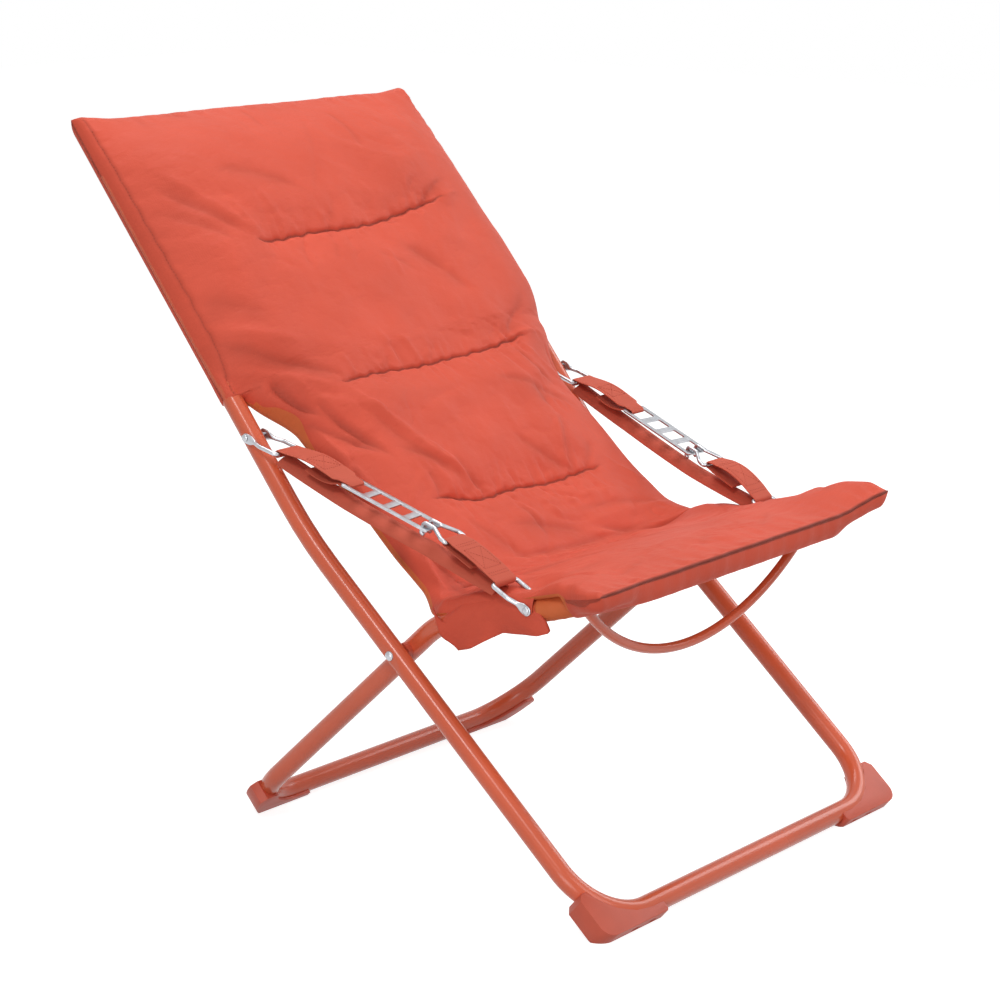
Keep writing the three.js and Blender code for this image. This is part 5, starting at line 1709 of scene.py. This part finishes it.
@dataclass
class StitchRow:
    """Rows of stitches, each an instance of one small thread loop laid by geometry nodes."""

    pitch: float = 4.6
    length: float = 3.2
    radius: float = 0.42
    aim_reach: float = 1.2
    segments: int = 6
    rings: int = 4
    points: list = field(default_factory=list)
    aims: list = field(default_factory=list)

    def add(self, path: np.ndarray) -> None:
        """Adds a row along a path of millimetre points."""
        along = lengths_along(path)
        count = max(2, int(along[-1] / self.pitch))
        places = (np.arange(count) + 0.5) * along[-1] / count
        here, ahead, behind = (np.stack([np.interp(places + shift, along, path[:, k]) for k in range(3)], -1)
                               for shift in (0.0, self.aim_reach, -self.aim_reach))
        self.points.append(here)
        self.aims.append(ahead - behind)

    def build(self, name: str, material: Material) -> Object:
        """Lays the stitches as one mesh.

        Args:
            name: object name.
            material: thread material.

        Returns:
            The finished piece.
        """
        places = row_points(np.vstack(self.points))
        mesh = bpy.data.meshes.new(name)
        mesh.from_pydata([tuple(p) for p in places], [], [])
        aims = mesh.attributes.new("aim", "FLOAT_VECTOR", "POINT")
        aims.data.foreach_set("vector", np.vstack(self.aims).reshape(-1))
        piece = link_object(name, mesh)
        modifier = piece.modifiers.new("stitches", "NODES")
        modifier.node_group = self.group(name, material)
        thread = {"Length": self.length * MM, "Radius": self.radius * MM}
        for item in modifier.node_group.interface.items_tree:
            if item.item_type == "SOCKET" and item.in_out == "INPUT" and item.name in thread:
                modifier[item.identifier] = thread[item.name]
        flatten(piece)
        shade_smooth(piece)
        return piece

    def group(self, name: str, material: Material) -> NodeTree:
        """Node group: points with an aim become thread loops."""
        tree = bpy.data.node_groups.new(f"{name}_nodes", "GeometryNodeTree")
        tree.interface.new_socket("Geometry", in_out="INPUT", socket_type="NodeSocketGeometry")
        for label in ("Length", "Radius"):
            tree.interface.new_socket(label, in_out="INPUT", socket_type="NodeSocketFloat")
        tree.interface.new_socket("Geometry", in_out="OUTPUT", socket_type="NodeSocketGeometry")
        entry = add_node(tree, "NodeGroupInput").outputs
        half = add_node(tree, "ShaderNodeMath", {0: entry["Length"], 1: 0.5}, operation="MULTIPLY")
        size = add_node(tree, "ShaderNodeCombineXYZ", {
            "X": half.outputs["Value"], "Y": entry["Radius"], "Z": entry["Radius"]})
        thread = add_node(tree, "GeometryNodeMeshUVSphere", {
            "Segments": self.segments, "Rings": self.rings, "Radius": 1.0})
        shape = add_node(tree, "GeometryNodeTransform", {
            "Geometry": thread.outputs["Mesh"], "Scale": size.outputs["Vector"]})
        points = add_node(tree, "GeometryNodeMeshToPoints", {"Mesh": entry["Geometry"]})
        aim = add_node(tree, "GeometryNodeInputNamedAttribute", {"Name": "aim"}, data_type="FLOAT_VECTOR")
        turn = add_node(tree, "FunctionNodeAlignRotationToVector", {"Vector": aim.outputs["Attribute"]},
                        axis="X")
        lay = add_node(tree, "GeometryNodeInstanceOnPoints", {
            "Points": points.outputs["Points"], "Instance": shape.outputs["Geometry"],
            "Rotation": turn.outputs["Rotation"]})
        real = add_node(tree, "GeometryNodeRealizeInstances", {"Geometry": lay.outputs["Instances"]})
        paint = add_node(tree, "GeometryNodeSetMaterial", {
            "Geometry": real.outputs["Geometry"], "Material": material})
        add_node(tree, "NodeGroupOutput", {"Geometry": paint.outputs["Geometry"]})
        return tree


def upper_side(tube: np.ndarray, least_x: float, least_z: float) -> np.ndarray:
    """Points of a frame's side beyond the given places, from front to back."""
    near = tube[(tube[:, 0] > least_x) & (tube[:, 2] > least_z)]
    return near[np.argsort(near[:, 1])]


@dataclass
class SideFlap:
    """Loose cloth of the seat's edge that hangs outside the side tube."""

    side: Side
    edge: tuple = ((49, 338), (45, 321), (36, 302), (16, 289), (-7, 297), (-51, 323), (-90, 329), (-108, 332),
                   (-122, 337), (-113, 350), (-98, 362))
    rows: int = 26
    columns: int = 60
    shoulder: float = 9.0
    shoulder_run: tuple = (0.02, 0.22)
    thick: float = 2.4
    edge_share: float = 0.35
    top_start: float = 30.0
    top_run: float = 126.0
    over_share: float = 0.45
    turn_start: float = math.radians(112)
    turn_end: float = math.radians(6)
    radius: float = 15.0
    radius_wave: float = 1.5
    ripple_height: float = 2.1
    cell: tuple = (0.0032, 0.0024)

    def build(self, tube: np.ndarray, materials: dict) -> Object:
        """Builds the flap.

        Args:
            tube: centre line of the inner frame in millimetres.
            materials: materials by name.

        Returns:
            The flap.
        """
        grid = self.points(tube)
        piece = make_mesh(f"side_flap_{self.side.suffix}", row_points(grid.reshape(-1, 3)), self.faces())
        face_outwards(piece)
        cells = np.meshgrid(np.arange(self.columns) * self.cell[0], np.arange(self.rows) * self.cell[1])
        set_uv(piece, np.tile(np.stack(cells, -1)[None], (2, 1, 1, 1)).reshape(-1, 2))
        dress(piece, materials["cloth"])
        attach(piece, "inner_frame")
        return piece

    def points(self, tube: np.ndarray) -> np.ndarray:
        """Points of the flap: over the tube, down outside it and on to its free edge.

        Args:
            tube: centre line of the inner frame in millimetres.

        Returns:
            Millimetres, by layer (outer, inner), row down the flap and column along the tube.
        """
        near = upper_side(tube, 200, 250)
        edge = np.array(self.edge, float)
        along = lengths_along(edge)
        grid = np.zeros((2, self.rows, self.columns, 3))
        for col in range(self.columns):
            share = col / (self.columns - 1)
            low_y, low_z = (np.interp(share * along[-1], along, edge[:, k]) for k in (0, 1))
            high_y = self.top_start - self.top_run * share
            tube_x, tube_z = (np.interp(high_y, near[:, 1], near[:, k]) for k in (0, 2))
            raised = self.shoulder * float(smooth(share, *self.shoulder_run))
            ripple = math.sin(share * 17.0 + 0.6) + 0.6 * math.sin(share * 39.0 + 2.0)
            for row in range(self.rows):
                down = row / (self.rows - 1)
                turn = min(down / self.over_share, 1.0)
                angle = self.turn_start * (1 - turn) - self.turn_end * turn
                radius = self.radius + self.radius_wave * math.sin(share * 19.0) * down
                hang = max(0.0, (down - self.over_share) / (1 - self.over_share))
                x = tube_x + radius * math.cos(angle)
                x += hang * (1.0 - 3.0 * hang) + self.ripple_height * ripple * hang
                y = high_y + (low_y - high_y) * float(smooth(down, 0.15, 1.0))
                z = tube_z + (radius + raised * (angle > 0)) * math.sin(angle)
                z = z + (low_z - z) * hang
                grid[0, row, col] = (x, y, z)
                inward = 1.0 if 0 < row < self.rows - 1 and 0 < col < self.columns - 1 else self.edge_share
                normal = (math.cos(angle), 0, math.sin(angle)) if hang == 0 else (1.0, 0, 0)
                grid[1, row, col] = grid[0, row, col] - np.array(normal) * self.thick * inward
        grid[..., 0] *= self.side.value
        return grid

    def faces(self) -> list:
        """Faces of the flap's two layers and of the rim between them."""
        rows, cols = self.rows, self.columns
        index = np.arange(2 * rows * cols).reshape(2, rows, cols).tolist()
        faces = []
        for row in range(rows - 1):
            for col in range(cols - 1):
                for layer, sheet in enumerate(index):
                    here, below = sheet[row], sheet[row + 1]
                    quad = (here[col], here[col + 1], below[col + 1], below[col])
                    faces.append(quad if layer else quad[::-1])
        rim = [(0, c) for c in range(cols)] + [(r, cols - 1) for r in range(1, rows)]
        rim += [(rows - 1, c) for c in range(cols - 2, -1, -1)] + [(r, 0) for r in range(rows - 2, 0, -1)]
        outer, inner = index
        for (r0, c0), (r1, c1) in zip(rim, rim[1:] + rim[:1]):
            faces.append((outer[r0][c0], outer[r1][c1], inner[r1][c1], inner[r0][c0]))
        return faces


@dataclass
class RailSleeve:
    """Short pleated sleeve of lining on the side tube, between the arm's pivot and the pocket."""

    side: Side
    start: float = -97.0
    end: float = -152.0
    rings: int = 46
    radius: float = 13.6
    pleat: float = 0.7
    ripple: float = 0.4
    end_radius: float = 12.9

    def build(self, tube: np.ndarray, materials: dict) -> Object:
        """Builds the sleeve on the tube's centre line."""
        near = upper_side(tube, 150, 330)
        depth = np.linspace(self.start, self.end, self.rings)
        across, height = (np.interp(depth, near[:, 1], near[:, k]) for k in (0, 2))
        line = np.stack([across, depth, height], -1)
        pleats = self.radius + self.pleat * np.abs(np.sin(np.linspace(0, 15, self.rings)))
        pleats = pleats + self.ripple * np.sin(np.linspace(1, 31, self.rings))
        pleats[0] = pleats[-1] = self.end_radius
        line[:, 0] *= self.side.value
        piece = sweep(f"rail_sleeve_{self.side.suffix}", line, pleats)
        face_outwards(piece)
        dress(piece, materials["lining"])
        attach(piece, "inner_frame")
        return piece


@dataclass
class Studio:
    """Camera at the photograph's angle, pale floor and soft lights."""

    camera_place: tuple = (-2.5532, -2.13844, 1.2087)
    yaw: float = math.radians(50.22)
    pitch: float = math.radians(13.80)
    roll: float = math.radians(0.12)
    lens: float = 98.29
    sensor: float = 36.0
    view_reach: float = 60.0
    floor_half: float = 9.0
    floor_grey: float = 0.5
    floor_glow: float = 0.86
    world_light: float = 0.36
    # Name, place, aim, size and power of each lamp
    lamps: tuple = (("key_lamp", (-2.6, -1.2, 3.4), (0, 0, 0.45), (0.7, 0.7), 34),
                    ("front_lamp", (0.6, -3.4, 2.8), (0, 0, 0.4), (1.8, 1.8), 34),
                    ("top_lamp", (0.3, 0.6, 3.2), (0, -0.25, 0.4), (1.4, 1.4), 34),
                    ("fill_lamp", (-3.2, -1.5, 0.9), (0, 0, 0.4), (1.6, 1.2), 28),
                    ("side_lamp", (3.2, -1.0, 2.2), (0, 0, 0.4), (1.6, 1.6), 30))

    @staticmethod
    def seen_rays(tree: NodeTree) -> NodeSocket:
        """One for rays of the camera, of reflections and of transmission, zero for light."""
        rays = add_node(tree, "ShaderNodeLightPath").outputs
        total = rays["Is Camera Ray"]
        for kind in ("Is Glossy Ray", "Is Transmission Ray"):
            either = add_node(tree, "ShaderNodeMath", {0: total, 1: rays[kind]}, operation="MAXIMUM")
            total = either.outputs["Value"]
        return total

    def camera(self) -> None:
        """Sets the camera."""
        view = Vector((math.sin(self.yaw) * math.cos(self.pitch), math.cos(self.yaw) * math.cos(self.pitch),
                       -math.sin(self.pitch)))
        right = Vector((math.cos(self.yaw), -math.sin(self.yaw), 0))
        up = right.cross(view)
        right, up = (right * math.cos(self.roll) + up * math.sin(self.roll),
                     up * math.cos(self.roll) - right * math.sin(self.roll))
        data = bpy.data.cameras.new("studio_camera")
        data.lens = self.lens
        data.sensor_width = self.sensor
        data.sensor_fit = "HORIZONTAL"
        data.clip_end = self.view_reach
        camera = link_object("studio_camera", data)
        matrix = Matrix((right, up, -view)).transposed().to_4x4()
        matrix.translation = Vector(self.camera_place)
        camera.matrix_world = matrix
        bpy.context.scene.camera = camera

    def lamp(self, name: str, place: tuple, aim: tuple, size: tuple, power: float) -> None:
        """Adds one soft rectangular lamp."""
        data = bpy.data.lights.new(name, "AREA")
        data.shape = "RECTANGLE"
        data.size, data.size_y = size
        data.energy = power
        turn = (Vector(aim) - Vector(place)).to_track_quat("-Z", "Y").to_matrix().to_4x4()
        link_object(name, data).matrix_world = Matrix.Translation(Vector(place)) @ turn

    def floor(self) -> None:
        """Adds the pale floor, which keeps the chair's shadow."""
        half = self.floor_half
        corners = np.array([(-half, -half, 0), (half, -half, 0), (half, half, 0), (-half, half, 0)], float)
        piece = make_mesh("studio_floor", corners, [(0, 1, 2, 3)], False)
        material = bpy.data.materials.new("studio_white")
        material.use_nodes = True
        tree = material.node_tree
        tree.nodes.clear()
        diffuse = add_node(tree, "ShaderNodeBsdfDiffuse", {"Color": (*[self.floor_grey] * 3, 1)})
        share = add_node(tree, "ShaderNodeMath", {0: self.seen_rays(tree), 1: self.floor_glow},
                         operation="MULTIPLY")
        glow = add_node(tree, "ShaderNodeEmission", {"Strength": share.outputs["Value"]})
        both = add_node(tree, "ShaderNodeAddShader", {
            0: diffuse.outputs["BSDF"], 1: glow.outputs["Emission"]})
        add_node(tree, "ShaderNodeOutputMaterial", {"Surface": both.outputs["Shader"]})
        piece.data.materials.append(material)

    def world(self) -> None:
        """White surround for the camera and for reflections, softer as a light."""
        world = bpy.data.worlds.new("studio_world")
        bpy.context.scene.world = world
        world.use_nodes = True
        tree = world.node_tree
        tree.nodes.clear()
        lit = add_node(tree, "ShaderNodeBackground", {"Strength": self.world_light})
        seen = add_node(tree, "ShaderNodeBackground", {"Color": (1.0, 1.0, 1.0, 1.0), "Strength": 1.0})
        mix = add_node(tree, "ShaderNodeMixShader", {
            "Fac": self.seen_rays(tree), 1: lit.outputs["Background"], 2: seen.outputs["Background"]})
        add_node(tree, "ShaderNodeOutputWorld", {"Surface": mix.outputs["Shader"]})

    def build(self) -> None:
        """Builds camera, floor, world and lamps."""
        self.camera()
        self.floor()
        self.world()
        for lamp in self.lamps:
            self.lamp(*lamp)
        bpy.context.scene.view_settings.view_transform = "Standard"


def build_materials() -> dict:
    """Builds each finish once.

    Returns:
        Materials by name.
    """
    finishes = {"paint": PAINT, "moulded": MOULDED, "zinc": ZINC, "cloth": CLOTH,
                "lining": LINING, "webbing": WEBBING, "webbing_painted_shade": WEBBING_PAINTED_SHADE, "thread": THREAD}
    return {name: finish.build() for name, finish in finishes.items()}


def main() -> None:
    """Builds the chair on its frame and sets it in the studio."""
    logging.basicConfig(level=logging.INFO, format="%(name)s: %(message)s")
    Studio().build()
    materials = build_materials()
    outer = TubeFrame("outer_frame", OUTER_HEAD, OUTER_KNEE, OUTER_RAIL, width=575.0, radii=(60, 500, 80))
    inner = TubeFrame("inner_frame", INNER_SEAT, INNER_KNEE, INNER_RAIL, width=515.0, radii=(120, 120, 78))
    pieces = [part.build(materials["paint"]) for part in (outer, inner, SeatBow())]
    for side in Side:
        suffix = side.suffix
        for node, body, edge, slot, finish in (
                (f"front_foot_{suffix}", "outer_frame", 1.0, "shoe", "moulded"),
                (f"rear_foot_{suffix}", "inner_frame", 1.0, "shoe", "moulded"),
                (f"ladder_{suffix}", f"ladder_{suffix}", 0.5, "zinc", "zinc")):
            pieces.append(RoundedCopy(node, body, edge, slot).build(materials[finish]))
        for wire in (WireBail(f"rear_bail_{suffix}", side, REAR_PIVOT, REAR_LOOP),
                     WireBail(f"front_bail_{suffix}", side, FRONT_PIVOT, FRONT_LOOP), WireHook(side)):
            pieces.append(wire.build(materials["zinc"]))
        pieces += ArmStrap(side).build(materials)
        dress(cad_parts[f"pivot_rivet_{suffix}"], materials["zinc"])
        dress(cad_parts[f"pivot_spacer_{suffix}"], materials["moulded"])
        for end in ("rear", "front"):
            dress(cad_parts[f"{end}_bail_rivet_{suffix}"], materials["zinc"])
    pieces += SlingPad().build(materials)
    for side in Side:
        pieces.append(SideFlap(side).build(inner.line(), materials))
        pieces.append(RailSleeve(side).build(inner.line(), materials))
    for piece in pieces:
        LOG.info("%s: %d faces", piece.name, len(piece.data.polygons))


if __name__ == "__main__":
    main()
